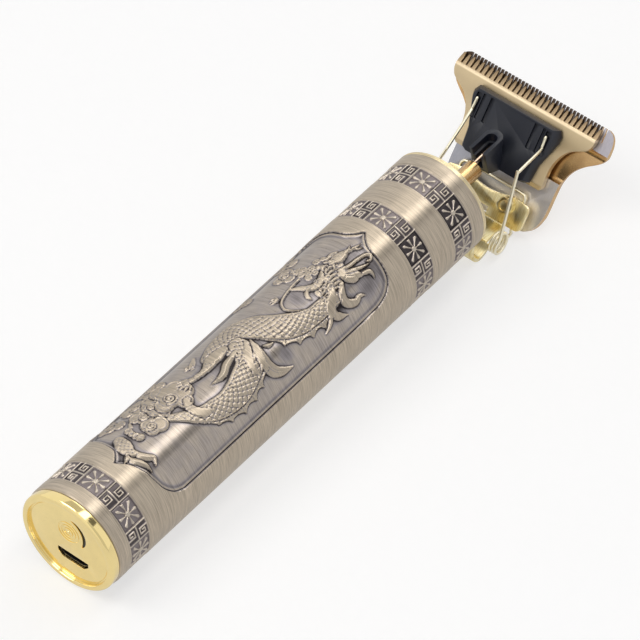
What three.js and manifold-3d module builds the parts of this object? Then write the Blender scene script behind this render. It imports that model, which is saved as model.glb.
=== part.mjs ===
// A cordless T-blade hair clipper, lying on its back: a round metal barrel with a charging cap at the rear,
// and at the front a stamped bracket that carries a tilted T-blade set driven by an eccentric on the motor.
// Units are millimetres. While it is built, the barrel's axis is the Y axis, y = 0 is the rear face of the
// cap, X runs across the blades and +Z is the decorated side. The last lines move the origin to the centre
// of the underside.

import * as THREE from "three";
import { mergeVertices } from "three/addons/utils/BufferGeometryUtils.js";
import Module from "manifold-3d";

const wasm = await Module();
wasm.setup();

// ---------------------------------------------------------------- driving dimensions

// Stations along the barrel
const CAP_END = 2.4; // where the cap's flange meets the barrel
const BANDS = [
  [6.0, 12.3],
  [106.6, 113.1],
  [121.1, 127.6],
];
const BARREL_END = 132.9;

// Barrel
const BARREL_R = 13.25;
const BARREL_BORE_R = 12.4;
const BAND_DEPTH = 0.3;
const GAP = 0.3; // clearance between neighbouring pieces

// Cap and charging port
const CAP_SIDE_R = 13.05;
const CAP_FACE_R = 12.4;
const CAP_RING = 1.4; // width of the raised rim of the face
const CAP_RECESS = 0.7;
const CAP_WALL = 1.6;
const CAP_SKIRT_END = 9;
const CAP_SKIRT_R = 10.6; // inside of the skirt that enters the barrel
const SEAL_GROOVE = { r: 11.4, from: 4.4, to: 5.6 };
const PORT = { x: 1.2, z: -4.6, width: 8.6, height: 2.6, corner: 1.3 };
const LIGHT_SLIT = { z: 3.5, radius: 4.5, width: 1.0, from: -0.56, sweep: 1.97 };

// Battery, board, switch
const CELL_R = 9.1;
const CELL_Z = 1.5;
const CELL = [26, 91];
const SWITCH_Y = 78;
const SWITCH_TRAVEL = 4;
const SWITCH_WINDOW = { half: 4.2, reach: 9 }; // the opening for the bezel in the barrel
const SWITCH_SIDE = [-15, -9]; // range in z of the cutters for the switch side of the barrel

// Motor and crank
const MOTOR_R = 10;
const MOTOR = [98, 124];
const SHAFT_R = 1.0;
const HUB_R = 2.3;
const HUB_START = 128.2;
const HUB_END = 145.5;
const CRANK = 1.1; // eccentricity of the drive pin
const CRANK_REST = THREE.MathUtils.degToRad(117.03); // pin's angle at rest, from +X towards +Z
const PIN_R = 0.675;
const PIN = [143.6, 152.4];

// Blade set, in its own frame: x across, s up the blade, h out of the blade towards the carrier
const BLADE_TILT = THREE.MathUtils.degToRad(53.1);
const BLADE_ORIGIN = new THREE.Vector3(0, 160.15, -0.12); // s = 0 on the moving blade's top face
const MOVING_T = 1.9;
const CUT_H = -MOVING_T - GAP; // top face of the fixed blade
const FIXED_T = 1.8;
const FIXED_SHIFT = 1.0; // the fixed blade stands a little to the right of the barrel's axis
const RIDGE_S = 8.15;
const FIXED_TEETH = { count: 40, pitch: 1.0, atRoot: 0.13, atTip: 0.25, root: 8.0, tip: 11.5 };
const MOVING_TEETH = { count: 29, pitch: 1.364, atRoot: 0.17, atTip: 0.42, root: 8.8, tip: 10.8 };
const CUTTER_REST_X = CRANK * Math.cos(CRANK_REST); // the moving blade stands off centre at rest
const SCREW_AT = { x: 6.6, s: -15.5 };

// Torsion spring
const WIRE_R = 0.38;
const COIL = { x: 10.9, y: 141.4, z: -14.5, r: 2.6, pitch: 0.85 };
// Where each arm's tip rests on the carrier, and where the arm bends down to its coil
const SPRING_TIP_X = { left: -10.8, right: 9.2 };
const ARM_BEND = { left: { x: -10.0, y: 148.0, z: -2.1 }, right: { x: 10.1, y: 148.3, z: 2.75 } };

// ---------------------------------------------------------------- materials

const finish = (color, roughness, metalness) =>
  new THREE.MeshStandardMaterial({ color, roughness, metalness });
const MAT = {
  antique: finish(0xb0a58f, 0.38, 1),
  gold: finish(0xf0cd82, 0.12, 1),
  champagne: finish(0xc8b28c, 0.3, 1),
  plated: finish(0xb9925f, 0.25, 1),
  brass: finish(0xc8a064, 0.2, 1),
  steel: finish(0xb4b6b8, 0.3, 1),
  blackPlastic: finish(0x2c2f38, 0.45, 0),
  whitePlastic: finish(0xe6e4dd, 0.5, 0),
  clearPlastic: finish(0xbfd8e8, 0.15, 0),
  board: finish(0x1d5c3a, 0.5, 0),
  cell: finish(0x2f6fb0, 0.4, 0),
  foam: finish(0x55565a, 0.95, 0),
  rubber: finish(0x222222, 0.9, 0),
  magnet: finish(0x3c3a3a, 0.5, 0.3),
  copper: finish(0xb06a3c, 0.35, 1),
};

// ---------------------------------------------------------------- geometry helpers

// A closed three.js geometry as a manifold-3d solid, for cutting and joining.
function solid(geometry) {
  const bare = geometry.clone();
  bare.deleteAttribute("normal");
  bare.deleteAttribute("uv");
  const merged = mergeVertices(bare, 1e-4);
  const body = new wasm.Manifold(
    new wasm.Mesh({
      numProp: 3,
      vertProperties: merged.attributes.position.array,
      triVerts: new Uint32Array(merged.index.array),
    }),
  );
  return body;
}

// A manifold-3d solid back as a three.js geometry with flat-shaded faces.
function geometryOf(body) {
  const data = body.getMesh();
  const vertices = new Float32Array(data.numVert * 3);
  for (let i = 0; i < data.numVert; i++) {
    vertices.set(data.vertProperties.subarray(i * data.numProp, i * data.numProp + 3), i * 3);
  }
  const indexed = new THREE.BufferGeometry();
  indexed.setAttribute("position", new THREE.BufferAttribute(vertices, 3));
  indexed.setIndex(new THREE.BufferAttribute(data.triVerts, 1));
  const flat = indexed.toNonIndexed();
  flat.computeVertexNormals();
  return flat;
}

const joined = (...bodies) => bodies.reduce((sum, body) => sum.add(body));
const cut = (body, ...tools) => tools.reduce((rest, tool) => rest.subtract(tool), body);

// A body of revolution about Y from a closed profile of [radius, y] pairs.
function turned(profile, segments = 32) {
  const points = profile.map(([r, y]) => new THREE.Vector2(r, y));
  if (THREE.ShapeUtils.area(points) < 0) points.reverse();
  points.push(points[0].clone());
  return solid(new THREE.LatheGeometry(points, segments));
}

// A tube or a rod about the Y axis, between two stations.
const tube = (inner, outer, y0, y1, segments = 32) =>
  turned([[inner, y0], [outer, y0], [outer, y1], [inner, y1]], segments);

function rod(r, y0, y1, segments = 16) {
  const body = new THREE.CylinderGeometry(r, r, y1 - y0, segments);
  return solid(body.translate(0, (y0 + y1) / 2, 0));
}

// A box given by its ranges along X, Y and Z.
function block([x0, x1], [y0, y1], [z0, z1]) {
  const body = new THREE.BoxGeometry(x1 - x0, y1 - y0, z1 - z0);
  return solid(body.translate((x0 + x1) / 2, (y0 + y1) / 2, (z0 + z1) / 2));
}

function outline(points) {
  return new THREE.Shape(points.map(([u, v]) => new THREE.Vector2(u, v)));
}

const extruded = (shape, depth, curveSegments = 4) =>
  new THREE.ExtrudeGeometry(shape, { depth, bevelEnabled: false, curveSegments });

// Turns what is drawn in (u, v) and thickened along w, so that u lies along Y, v along Z and w along X.
const SIDEWAYS = new THREE.Matrix4().makeBasis(
  new THREE.Vector3(0, 1, 0),
  new THREE.Vector3(0, 0, 1),
  new THREE.Vector3(1, 0, 0),
);

// A flat shape drawn in (x, s) and thickened from h0 to h1, still in the blade's own frame.
function slab(shape, h0, h1) {
  return solid(extruded(shape, h1 - h0).translate(0, 0, h0));
}

// A profile drawn in (y, z) and thickened across X from -half to +half.
function across(points, half) {
  return solid(extruded(outline(points), 2 * half).applyMatrix4(SIDEWAYS).translate(-half, 0, 0));
}

// A shape drawn in (x, y) and thickened from z0 to z1.
function upright(shape, z0, z1) {
  return solid(extruded(shape, z1 - z0, 6).translate(0, 0, z0));
}

const mirrored = (points) => [...points, ...points.map(([x, s]) => [-x, s]).reverse()];

// A rectangle with rounded corners, centred on (x, y).
function roundedBox(x, y, width, height, radius) {
  const shape = new THREE.Shape();
  const corner = (sx, sy, from) =>
    shape.absarc(x + sx * (width / 2 - radius), y + sy * (height / 2 - radius), radius, from,
      from + Math.PI / 2, false);
  corner(1, -1, -Math.PI / 2);
  corner(1, 1, 0);
  corner(-1, 1, Math.PI / 2);
  corner(-1, -1, Math.PI);
  return shape;
}

// The sheet of the given thickness that follows a line of [y, z] points.
function sheet(points, thickness) {
  const line = points.map(([y, z]) => new THREE.Vector2(y, z));
  const side = (sign) =>
    line.map((point, i) => {
      const before = point.clone().sub(line[Math.max(i - 1, 0)]);
      const after = line[Math.min(i + 1, line.length - 1)].clone().sub(point);
      const a = (before.length() ? before : after).clone().normalize();
      const b = (after.length() ? after : before).clone().normalize();
      const along = a.clone().add(b).normalize();
      const reach = ((sign * thickness) / 2) / Math.max(along.dot(a), 0.5);
      return [point.x - along.y * reach, point.y + along.x * reach];
    });
  return [...side(-1), ...side(1).reverse()];
}

// Blade frame to barrel frame
const UP_BLADE = new THREE.Vector3(0, Math.cos(BLADE_TILT), Math.sin(BLADE_TILT));
const OUT_OF_BLADE = new THREE.Vector3(0, -Math.sin(BLADE_TILT), Math.cos(BLADE_TILT));
const BLADE_FRAME = new THREE.Matrix4()
  .makeBasis(new THREE.Vector3(1, 0, 0), UP_BLADE, OUT_OF_BLADE)
  .setPosition(BLADE_ORIGIN);
const bladePoint = (x, s, h) => new THREE.Vector3(x, s, h).applyMatrix4(BLADE_FRAME);

// A solid in the blade's frame, moved into the barrel's frame.
const onBlade = (body) => body.transform(BLADE_FRAME.toArray());

// A cylinder whose axis stands on the blade at (x, s).
function peg(r, x, s, h0, h1, segments = 14) {
  const body = new THREE.CylinderGeometry(r, r, h1 - h0, segments).rotateX(Math.PI / 2);
  return solid(body.translate(x, s, (h0 + h1) / 2));
}

// ---------------------------------------------------------------- assembly tree

const clipper = new THREE.Group();
const bodyGroup = new THREE.Group();
const cutterGroup = new THREE.Group(); // slides along X with the crank
const rotorGroup = new THREE.Group(); // turns about the barrel's axis
const sliderGroup = new THREE.Group(); // slides along Y
clipper.add(bodyGroup, cutterGroup, rotorGroup, sliderGroup);

function place(group, name, body, material) {
  const mesh = new THREE.Mesh(geometryOf(body), material);
  mesh.name = name;
  group.add(mesh);
  return mesh;
}

// ---------------------------------------------------------------- barrel and cap

function barrelShell() {
  const profile = [[BARREL_BORE_R, CAP_END + GAP / 3], [BARREL_R, CAP_END + GAP / 3]];
  for (const [from, to] of BANDS) {
    const floor = BARREL_R - BAND_DEPTH;
    profile.push([BARREL_R, from], [floor, from], [floor, to], [BARREL_R, to]);
  }
  profile.push([BARREL_R, BARREL_END - 0.7], [BARREL_R - 0.5, BARREL_END], [BARREL_BORE_R, BARREL_END]);
  const { half, reach } = SWITCH_WINDOW;
  const opening = block([-half, half], [SWITCH_Y - reach, SWITCH_Y + reach], SWITCH_SIDE);
  return cut(turned(profile, 48), opening);
}

// The slot for the charging plug: a rectangle with its two lower corners cut off.
function portShape(grow) {
  const w = PORT.width / 2 + grow;
  const h = PORT.height / 2 + grow;
  return outline([
    [PORT.x - w + PORT.corner, PORT.z - h],
    [PORT.x + w - PORT.corner, PORT.z - h],
    [PORT.x + w, PORT.z],
    [PORT.x + w, PORT.z + h],
    [PORT.x - w, PORT.z + h],
    [PORT.x - w, PORT.z],
  ]);
}

// A shape drawn in (x, z), thickened from y0 to y1.
function facing(shape, y0, y1) {
  const body = extruded(shape, y1 - y0, 5);
  const standing = new THREE.Matrix4().makeBasis(
    new THREE.Vector3(1, 0, 0),
    new THREE.Vector3(0, 0, 1),
    new THREE.Vector3(0, -1, 0),
  );
  return solid(body.applyMatrix4(standing).translate(0, y1, 0));
}

// The arc-shaped slit in the cap's face that lets the charge light out.
function slitShape(grow) {
  const { radius, width, from, sweep, z } = LIGHT_SLIT;
  const half = width / 2 + grow;
  const extra = grow / radius;
  const shape = new THREE.Shape();
  shape.absarc(0, z, radius + half, from - extra, from + sweep + extra, false);
  shape.absarc(0, z, radius - half, from + sweep + extra, from - extra, true);
  return shape;
}

function endCap() {
  const inner = CAP_FACE_R - CAP_RING;
  const skirt = BARREL_BORE_R - GAP;
  const shell = turned([
    [0, CAP_RECESS],
    [inner - 0.5, CAP_RECESS],
    [inner, 0],
    [CAP_FACE_R, 0],
    [CAP_SIDE_R, 0.7],
    [CAP_SIDE_R, CAP_END],
    [skirt, CAP_END],
    [skirt, SEAL_GROOVE.from],
    [SEAL_GROOVE.r, SEAL_GROOVE.from],
    [SEAL_GROOVE.r, SEAL_GROOVE.to],
    [skirt, SEAL_GROOVE.to],
    [skirt, CAP_SKIRT_END],
    [CAP_SKIRT_R, CAP_SKIRT_END],
    [CAP_SKIRT_R, CAP_RECESS + CAP_WALL],
    [0, CAP_RECESS + CAP_WALL],
  ], 40);
  return cut(shell, facing(portShape(0), -1, 4), facing(slitShape(0), -1, 4));
}

function usbShell() {
  const outer = facing(portShape(-0.35), 1.1, 7.4);
  return cut(outer, facing(portShape(-0.65), 0, 6.9));
}

function usbTongue() {
  const half = PORT.width / 2 - 1.7;
  return block([PORT.x - half, PORT.x + half], [1.9, 6.6], [PORT.z - 0.05, PORT.z + 0.4]);
}

place(bodyGroup, "barrel_shell", barrelShell(), MAT.antique);
place(bodyGroup, "end_cap", endCap(), MAT.gold);
const seal = tube(SEAL_GROOVE.r + 0.1, 12.2, SEAL_GROOVE.from + 0.2, SEAL_GROOVE.to - 0.2);
place(bodyGroup, "cap_seal", seal, MAT.rubber);
place(bodyGroup, "cap_light_window", facing(slitShape(-0.15), 1.2, 3.2), MAT.clearPlastic);
place(bodyGroup, "usb_port_shell", usbShell(), MAT.steel);
place(bodyGroup, "usb_port_tongue", usbTongue(), MAT.blackPlastic);
place(bodyGroup, "charge_board", block([-7, 7], [2.9, 20], [-7.6, -6.4]), MAT.board);

// ---------------------------------------------------------------- chassis, battery and switch

// A moulded half shell, open towards -Z, with a rib at each end of the battery.
function chassisFrame() {
  const shell = tube(11.1, 12.1, 20.5, 126.4);
  const open = block([-13, 13], [20, 127], [-13, -2]);
  const rib = (y) => tube(8.2, 11.3, y, y + 1.2);
  return cut(joined(shell, rib(CELL[0] - 3.4), rib(CELL[1] + 2.2)), open);
}

function batteryTab(y) {
  return facing(roundedBox(0, CELL_Z, 7, 11, 1.5), y, y + 0.3);
}

function switchBezel() {
  const half = 8.6;
  const plate = tube(BARREL_BORE_R - 0.1, BARREL_R - 0.1, SWITCH_Y - half, SWITCH_Y + half, 48);
  const width = SWITCH_WINDOW.half - GAP;
  const edge = block([-width, width], [SWITCH_Y - half, SWITCH_Y + half], SWITCH_SIDE);
  const slot = block([-1.9, 1.9], [SWITCH_Y - 4.6, SWITCH_Y + 4.6], SWITCH_SIDE);
  return cut(plate.intersect(edge), slot);
}

// The thumb pad outside the bezel, with three grip ridges, and the stem that reaches the switch.
function switchSlider() {
  const y = SWITCH_Y - SWITCH_TRAVEL / 2;
  const pad = block([-2.9, 2.9], [y - 4, y + 4], [-14.5, -13.55]);
  const stem = block([-1.5, 1.5], [y - 2, y + 2], [-13.6, -12.2]);
  const ridges = [-2, 0, 2].map((dy) => block([-2.4, 2.4], [y + dy - 0.4, y + dy + 0.4], [-14.9, -14.4]));
  return joined(pad, stem, ...ridges);
}

function switchHousing() {
  const can = block([-3.4, 3.4], [SWITCH_Y - 6, SWITCH_Y + 6], [-11.5, -9.2]);
  return cut(can, block([-1.2, 1.2], [SWITCH_Y - 4, SWITCH_Y + 4], [-12, -10.6]));
}

place(bodyGroup, "chassis_frame", chassisFrame(), MAT.blackPlastic);
const cell = tube(0, CELL_R, ...CELL, 36).translate([0, 0, CELL_Z]);
place(bodyGroup, "battery_cell", cell, MAT.cell);
place(bodyGroup, "battery_tab_rear", batteryTab(CELL[0] - 0.6), MAT.steel);
place(bodyGroup, "battery_tab_front", batteryTab(CELL[1] + 0.3), MAT.steel);
for (const [name, y] of [["battery_foam_rear", CELL[0] - 1.9], ["battery_foam_front", CELL[1] + 0.9]]) {
  place(bodyGroup, name, rod(7.6, y, y + 1.0).translate([0, 0, CELL_Z]), MAT.foam);
}
place(bodyGroup, "switch_board", block([-6, 6], [SWITCH_Y - 16, SWITCH_Y + 16], [-8.9, -7.9]), MAT.board);
place(bodyGroup, "switch_housing", switchHousing(), MAT.steel);
place(bodyGroup, "switch_bezel", switchBezel(), MAT.gold);
place(sliderGroup, "switch_slider", switchSlider(), MAT.gold);

// ---------------------------------------------------------------- motor and crank

function motorCan() {
  return turned([
    [MOTOR_R - 0.8, MOTOR[0]],
    [MOTOR_R, MOTOR[0]],
    [MOTOR_R, MOTOR[1]],
    [3.3, MOTOR[1]],
    [3.3, MOTOR[1] - 1],
    [MOTOR_R - 0.8, MOTOR[1] - 1],
  ]);
}

function motorEndBell() {
  const [rear] = MOTOR;
  const bell = turned([
    [2.9, rear - 1.9],
    [MOTOR_R - 0.4, rear - 1.9],
    [MOTOR_R - 0.4, rear - GAP],
    [2.9, rear - GAP],
  ]);
  return cut(bell, ...[-1, 1].map((side) => rod(1.2, rear - 3, rear + 1).translate([6 * side, 0, 0])));
}

function magnet(side) {
  const ring = tube(7.5, 8.9, MOTOR[0] + 4, MOTOR[1] - 4);
  const keep = block(side > 0 ? [2.5, 10] : [-10, -2.5], [MOTOR[0], MOTOR[1]], [-10, 10]);
  return ring.intersect(keep);
}

// Three pole shoes around a core.
function armature() {
  const y0 = MOTOR[0] + 6;
  const y1 = MOTOR[1] - 6;
  const stack = tube(SHAFT_R + GAP, 7, y0, y1);
  const slots = [0, 1, 2].map((i) => {
    const angle = (i * 2 * Math.PI) / 3;
    return rod(1.9, y0 - 1, y1 + 1).translate([5.4 * Math.cos(angle), 0, 5.4 * Math.sin(angle)]);
  });
  return cut(stack, ...slots);
}

const pinAt = [CRANK * Math.cos(CRANK_REST), 0, CRANK * Math.sin(CRANK_REST)];

function eccentricHub() {
  const hub = turned([
    [SHAFT_R + GAP, HUB_START],
    [HUB_R + 0.3, HUB_START],
    [HUB_R + 0.3, 134.5],
    [HUB_R, 135],
    [HUB_R, HUB_END - 0.35],
    [HUB_R - 0.35, HUB_END],
    [0, HUB_END],
    [0, 138.4],
    [SHAFT_R + GAP, 138.4],
  ], 24);
  return cut(hub, rod(PIN_R + GAP / 2, PIN[0] - 0.4, HUB_END + 1, 16).translate(pinAt));
}

function bushing(y0, y1, flangeY) {
  const flange = tube(SHAFT_R + 0.15, 3.1, flangeY, flangeY + 0.6, 20);
  return joined(tube(SHAFT_R + 0.15, 2.5, y0, y1, 20), flange);
}

function motorTerminal(side) {
  return block([6 * side - 0.9, 6 * side + 0.9], [MOTOR[0] - 4.6, MOTOR[0] + 1.2], [-0.2, 0.2]);
}

place(bodyGroup, "motor_can", motorCan(), MAT.steel);
place(bodyGroup, "motor_end_bell", motorEndBell(), MAT.whitePlastic);
place(bodyGroup, "motor_bush_front", bushing(MOTOR[1] - 1.4, MOTOR[1] + 0.9, MOTOR[1] - 2), MAT.brass);
place(bodyGroup, "motor_bush_rear", bushing(MOTOR[0] - 2.2, MOTOR[0], MOTOR[0]), MAT.brass);
for (const [word, side] of [["left", -1], ["right", 1]]) {
  place(bodyGroup, `motor_magnet_${word}`, magnet(side), MAT.magnet);
  place(bodyGroup, `motor_terminal_${word}`, motorTerminal(side), MAT.brass);
}
place(rotorGroup, "motor_armature", armature(), MAT.copper);
const commutator = tube(SHAFT_R + GAP, 2.8, MOTOR[0] + 1.4, MOTOR[0] + 5.4, 20);
place(rotorGroup, "motor_commutator", commutator, MAT.copper);
place(rotorGroup, "motor_shaft", rod(SHAFT_R, MOTOR[0] - 2, 138, 24), MAT.steel);
place(rotorGroup, "eccentric_hub", eccentricHub(), MAT.brass);
place(rotorGroup, "eccentric_pin", rod(PIN_R, ...PIN, 16).translate(pinAt), MAT.steel);

// ---------------------------------------------------------------- bulkhead and bracket

const MOTOR_SCREW_X = 7;
const BRACKET_SCREW = { x: 7, z: -4.5 };

// The moulding that closes the barrel, bored for the hub and for the screws on either side.
function frontBulkhead() {
  const disc = turned([
    [HUB_R + 0.9, 126.8],
    [12.1, 126.8],
    [12.1, 131.2],
    [HUB_R + 0.9, 131.2],
  ]);
  const holes = [-1, 1].flatMap((side) => [
    rod(1.3, 126, 132).translate([MOTOR_SCREW_X * side, 0, 2]),
    rod(2.2, 129.4, 132).translate([MOTOR_SCREW_X * side, 0, 2]),
    rod(1.3, 128, 132).translate([BRACKET_SCREW.x * side, 0, BRACKET_SCREW.z]),
  ]);
  return cut(disc, ...holes);
}

function screwHead(r, y0, y1) {
  const edge = 0.3;
  return turned([
    [0, y0],
    [r - edge, y0],
    [r, y0 + edge],
    [r, y1 - edge],
    [r - edge, y1],
    [0, y1],
  ], 16);
}

// The line of the bent sheet in (y, z): flange, trough under the rim, floor.
const FLANGE_LINE = [[132.25, 5], [132.25, -9.0], [134.4, -11.6]];
const TROUGH_LINE = [
  [134.4, -11.6], [134.0, -14.6], [135.0, -16.9], [137.0, -18.0], [139.0, -17.4], [140.8, -16.3],
];
const FLOOR_LINE = [[140.8, -16.3], [144.0, -16.2], [147.2, -16.6], [148.6, -15.8]];
const SHEET_T = 0.9;

// The tab that lies along the blade, with a shallow hollow in its upper edge.
function bracketTab() {
  const shape = new THREE.Shape();
  shape.moveTo(-10.5, -20.3);
  shape.lineTo(10.5, -20.3);
  shape.quadraticCurveTo(12.1, -20.1, 12.1, -18.6);
  shape.lineTo(12.1, -14.8);
  shape.quadraticCurveTo(12.0, -13.5, 10.6, -13.5);
  shape.quadraticCurveTo(7.4, -12.6, 5.2, -13.6);
  shape.quadraticCurveTo(0, -15.4, -5.2, -13.6);
  shape.quadraticCurveTo(-7.4, -12.6, -10.6, -13.5);
  shape.quadraticCurveTo(-12.0, -13.5, -12.1, -14.8);
  shape.lineTo(-12.1, -18.6);
  shape.quadraticCurveTo(-12.1, -20.1, -10.5, -20.3);
  return slab(shape, -0.3, 0.6);
}

function headBracket() {
  const { x, s } = SCREW_AT;
  const barrelCore = rod(11.9, 130, 136, 40);
  const flange = across(sheet(FLANGE_LINE, SHEET_T), 8.6).intersect(barrelCore);
  const bent = joined(
    flange,
    across(sheet(TROUGH_LINE, SHEET_T), 9.0),
    across(sheet(FLOOR_LINE, SHEET_T), 7.8),
  );
  const bosses = [-1, 1].flatMap((side) => [
    peg(1.95, side * x, s, 0.5, 3.1),
    peg(2.1, side * x, s, CUT_H + GAP, -0.2),
  ]);
  const bores = [-1, 1].map((side) => peg(1.35, side * x, s, -3, 4));
  const tab = joined(bracketTab(), ...bosses);
  const slot = slab(outline(mirrored([[2.3, -19.9], [2.3, -18.2]])), -4, 3);
  const hubHole = rod(HUB_R + 0.9, 130, 135, 24);
  const screwHoles = [-1, 1].map((side) => {
    const hole = rod(1.3, 130, 136);
    return hole.translate([BRACKET_SCREW.x * side, 0, BRACKET_SCREW.z]);
  });
  const blank = joined(bent, onBlade(tab));
  return cut(blank, onBlade(joined(...bores)), onBlade(slot), hubHole, ...screwHoles);
}

place(bodyGroup, "front_bulkhead", frontBulkhead(), MAT.blackPlastic);
place(bodyGroup, "head_bracket", headBracket(), MAT.gold);
for (const [word, side] of [["left", -1], ["right", 1]]) {
  const bracketScrew = joined(rod(0.95, 128.5, 133.5), screwHead(1.9, 133.1, 134.4));
  const { x, z } = BRACKET_SCREW;
  place(bodyGroup, `bracket_screw_${word}`, bracketScrew.translate([x * side, 0, z]), MAT.steel);
  const motorScrew = joined(rod(0.95, 124.3, 130), screwHead(1.8, 129.7, 130.9));
  place(bodyGroup, `motor_screw_${word}`, motorScrew.translate([MOTOR_SCREW_X * side, 0, 2]), MAT.steel);
}

// ---------------------------------------------------------------- blades

// Half outlines in (x, s), from the tips down to the bottom edge.
const FIXED_HALF = [
  [20.3, FIXED_TEETH.tip], [21.3, 11.0], [22.0, 10.0], [22.4, 8.3], [22.4, 6.5], [22.2, 5.0], [21.3, 3.5],
  [19.8, 2.2], [17.9, 0.8], [16.2, -0.9], [15.1, -2.6], [14.4, -4.6], [14.1, -7.0], [14.1, -13.5],
  [13.8, -15.6], [13.1, -17.6], [12.1, -19.0], [10.9, -19.9], [9.8, -20.2],
];
const MOVING_HALF = [
  [20.1, MOVING_TEETH.tip], [20.3, 9.2], [20.3, 7.4], [20.0, 6.2], [19.2, 5.0], [17.4, 4.0], [15.5, 2.8],
  [14.2, 1.3], [13.3, -0.5], [12.8, -2.2], [12.6, -4.0], [12.7, -7.0], [12.8, -8.0], [12.2, -9.0],
];

// The V-shaped gaps between teeth, centred on x = 0.
function toothGaps({ count, pitch, atRoot, atTip, root, tip }, h0, h1) {
  return Array.from({ length: count }, (_, i) => {
    const x = (i - (count - 1) / 2) * pitch;
    const gap = [
      [x - atTip, tip + 0.5],
      [x - atRoot, root],
      [x + atRoot, root],
      [x + atTip, tip + 0.5],
    ];
    return slab(outline(gap), h0, h1);
  });
}

// A wedge across the whole blade, drawn in (s, h).
function wedge(points) {
  return across(points, 30);
}

function fixedBlade() {
  const skin = CUT_H - FIXED_T;
  const plate = slab(outline(mirrored(FIXED_HALF)), skin, CUT_H);
  const floor = CUT_H - 0.9;
  const hollow = wedge([
    [-5.8, CUT_H], [-4.8, floor], [4.6, floor], [5.6, CUT_H], [5.6, CUT_H + 1], [-5.8, CUT_H + 1],
  ]);
  const thinTips = wedge([[5.0, skin - 1], [5.0, skin], [13.5, skin + 1.55], [13.5, skin - 1]]);
  const holes = [-1, 1].flatMap((side) => [
    peg(1.3, side * SCREW_AT.x, SCREW_AT.s, skin - 1, CUT_H + 1),
    peg(2.75, side * SCREW_AT.x, SCREW_AT.s, skin - 1, skin + 1.0),
  ]);
  const gaps = toothGaps(FIXED_TEETH, skin - 1, CUT_H + 1);
  const blank = cut(plate, hollow, thinTips, ...gaps).translate([FIXED_SHIFT, 0, 0]);
  return onBlade(cut(blank, ...holes));
}

const CARRIER_PEG = { x: 6, s: 1.5 };

function movingBlade() {
  const plate = slab(outline(mirrored(MOVING_HALF)), -MOVING_T, 0);
  const slopeToTips = wedge([[RIDGE_S, 0], [11.1, -1.65], [11.1, 1], [RIDGE_S, 1]]);
  const slopeAtFoot = wedge([[-7.9, 0], [-7.9, 1], [-11, 1], [-11, -1.3]]);
  const holes = [-1, 1].map((side) => peg(1.3, side * CARRIER_PEG.x, CARRIER_PEG.s, -3, 1));
  const gaps = toothGaps(MOVING_TEETH, -3, 1);
  const blade = cut(plate, slopeToTips, slopeAtFoot, ...holes, ...gaps);
  return onBlade(blade).translate([CUTTER_REST_X, 0, 0]);
}

// ---------------------------------------------------------------- carrier

const CARRIER_HALF = [
  [11.7, 6.4], [12.6, 4.9], [12.5, 3.4], [11.7, 0.8], [10.2, -3.6], [9.8, -8.2], [8.6, -8.8],
];
const CARRIER_TOP = 2.8;
const CARRIER_GROOVES = [ // at each side, the outermost is the seat of the spring's tip
  { x: 6.4, s: 2.4, width: 1.1, length: 6.4, deep: 0.7 },
  { x: 8.7, s: 2.4, width: 0.8, length: 6.4, deep: 0.6 },
  { x: 10.05, s: 2.2, width: 1.5, length: 6.2, deep: 0.9 },
];
const FORK = { top: 4.3, half: 2.3, start: 146.8, end: 155.2, slotHalf: 0.85, slotEnd: 152.2 };
const FUNNEL = { half: 1.45, from: 1.9 }; // the wider mouth above the slot

// The plate with sloping sides: an upper outline drawn in from the lower one.
function carrierPlate() {
  const foot = GAP;
  const shoulder = 1.0;
  const inset = ([x, s]) => [x - 1.0, s > 4 ? s - 0.35 : s + 0.2];
  const low = mirrored(CARRIER_HALF);
  const high = mirrored(CARRIER_HALF.map(inset));
  const ring = (points, h) => points.map(([x, s]) => new THREE.Vector3(x, s, h));
  const rings = [ring(low, foot), ring(low, shoulder), ring(high, CARRIER_TOP)];
  const n = low.length;
  const positions = rings.flat().flatMap((p) => p.toArray());
  const index = [];
  for (let k = 0; k < 2; k++) {
    for (let i = 0; i < n; i++) {
      const a = k * n + i;
      const b = k * n + ((i + 1) % n);
      index.push(a, a + n, b, b, a + n, b + n);
    }
  }
  const caps = THREE.ShapeUtils.triangulateShape(low.map(([x, s]) => new THREE.Vector2(x, s)), []);
  for (const [a, b, c] of caps) {
    index.push(c, b, a);
    index.push(a + 2 * n, b + 2 * n, c + 2 * n);
  }
  const geometry = new THREE.BufferGeometry();
  geometry.setAttribute("position", new THREE.Float32BufferAttribute(positions, 3));
  geometry.setIndex(index);
  return solid(geometry);
}

// The fork that the drive pin works in, built in the barrel's frame: its walls stand along Z.
function carrierFork() {
  const { top, half, start, end } = FORK;
  const side = [
    [start, top], [end, top], [end + 1, -2], [154.9, -5.6], [153.0, -5.6], [148.6, -3.4],
  ];
  const plan = new THREE.Shape();
  plan.moveTo(half, 145);
  plan.lineTo(half, end - half);
  plan.absarc(0, end - half, half, 0, Math.PI, false);
  plan.lineTo(-half, 145);
  const lower = across(side, half);
  return lower.intersect(joined(upright(plan, 0.4, top + 1), block([-half, half], [140, 160], [-8, 0.5])));
}

// An upright slot of the given half width, open towards the barrel and round at its far end.
function forkSlot(half, z0, z1) {
  const plan = new THREE.Shape();
  plan.moveTo(half, 140);
  plan.lineTo(half, FORK.slotEnd);
  plan.absarc(0, FORK.slotEnd, half, 0, Math.PI, false);
  plan.lineTo(-half, 140);
  return upright(plan, z0, z1);
}

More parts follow.
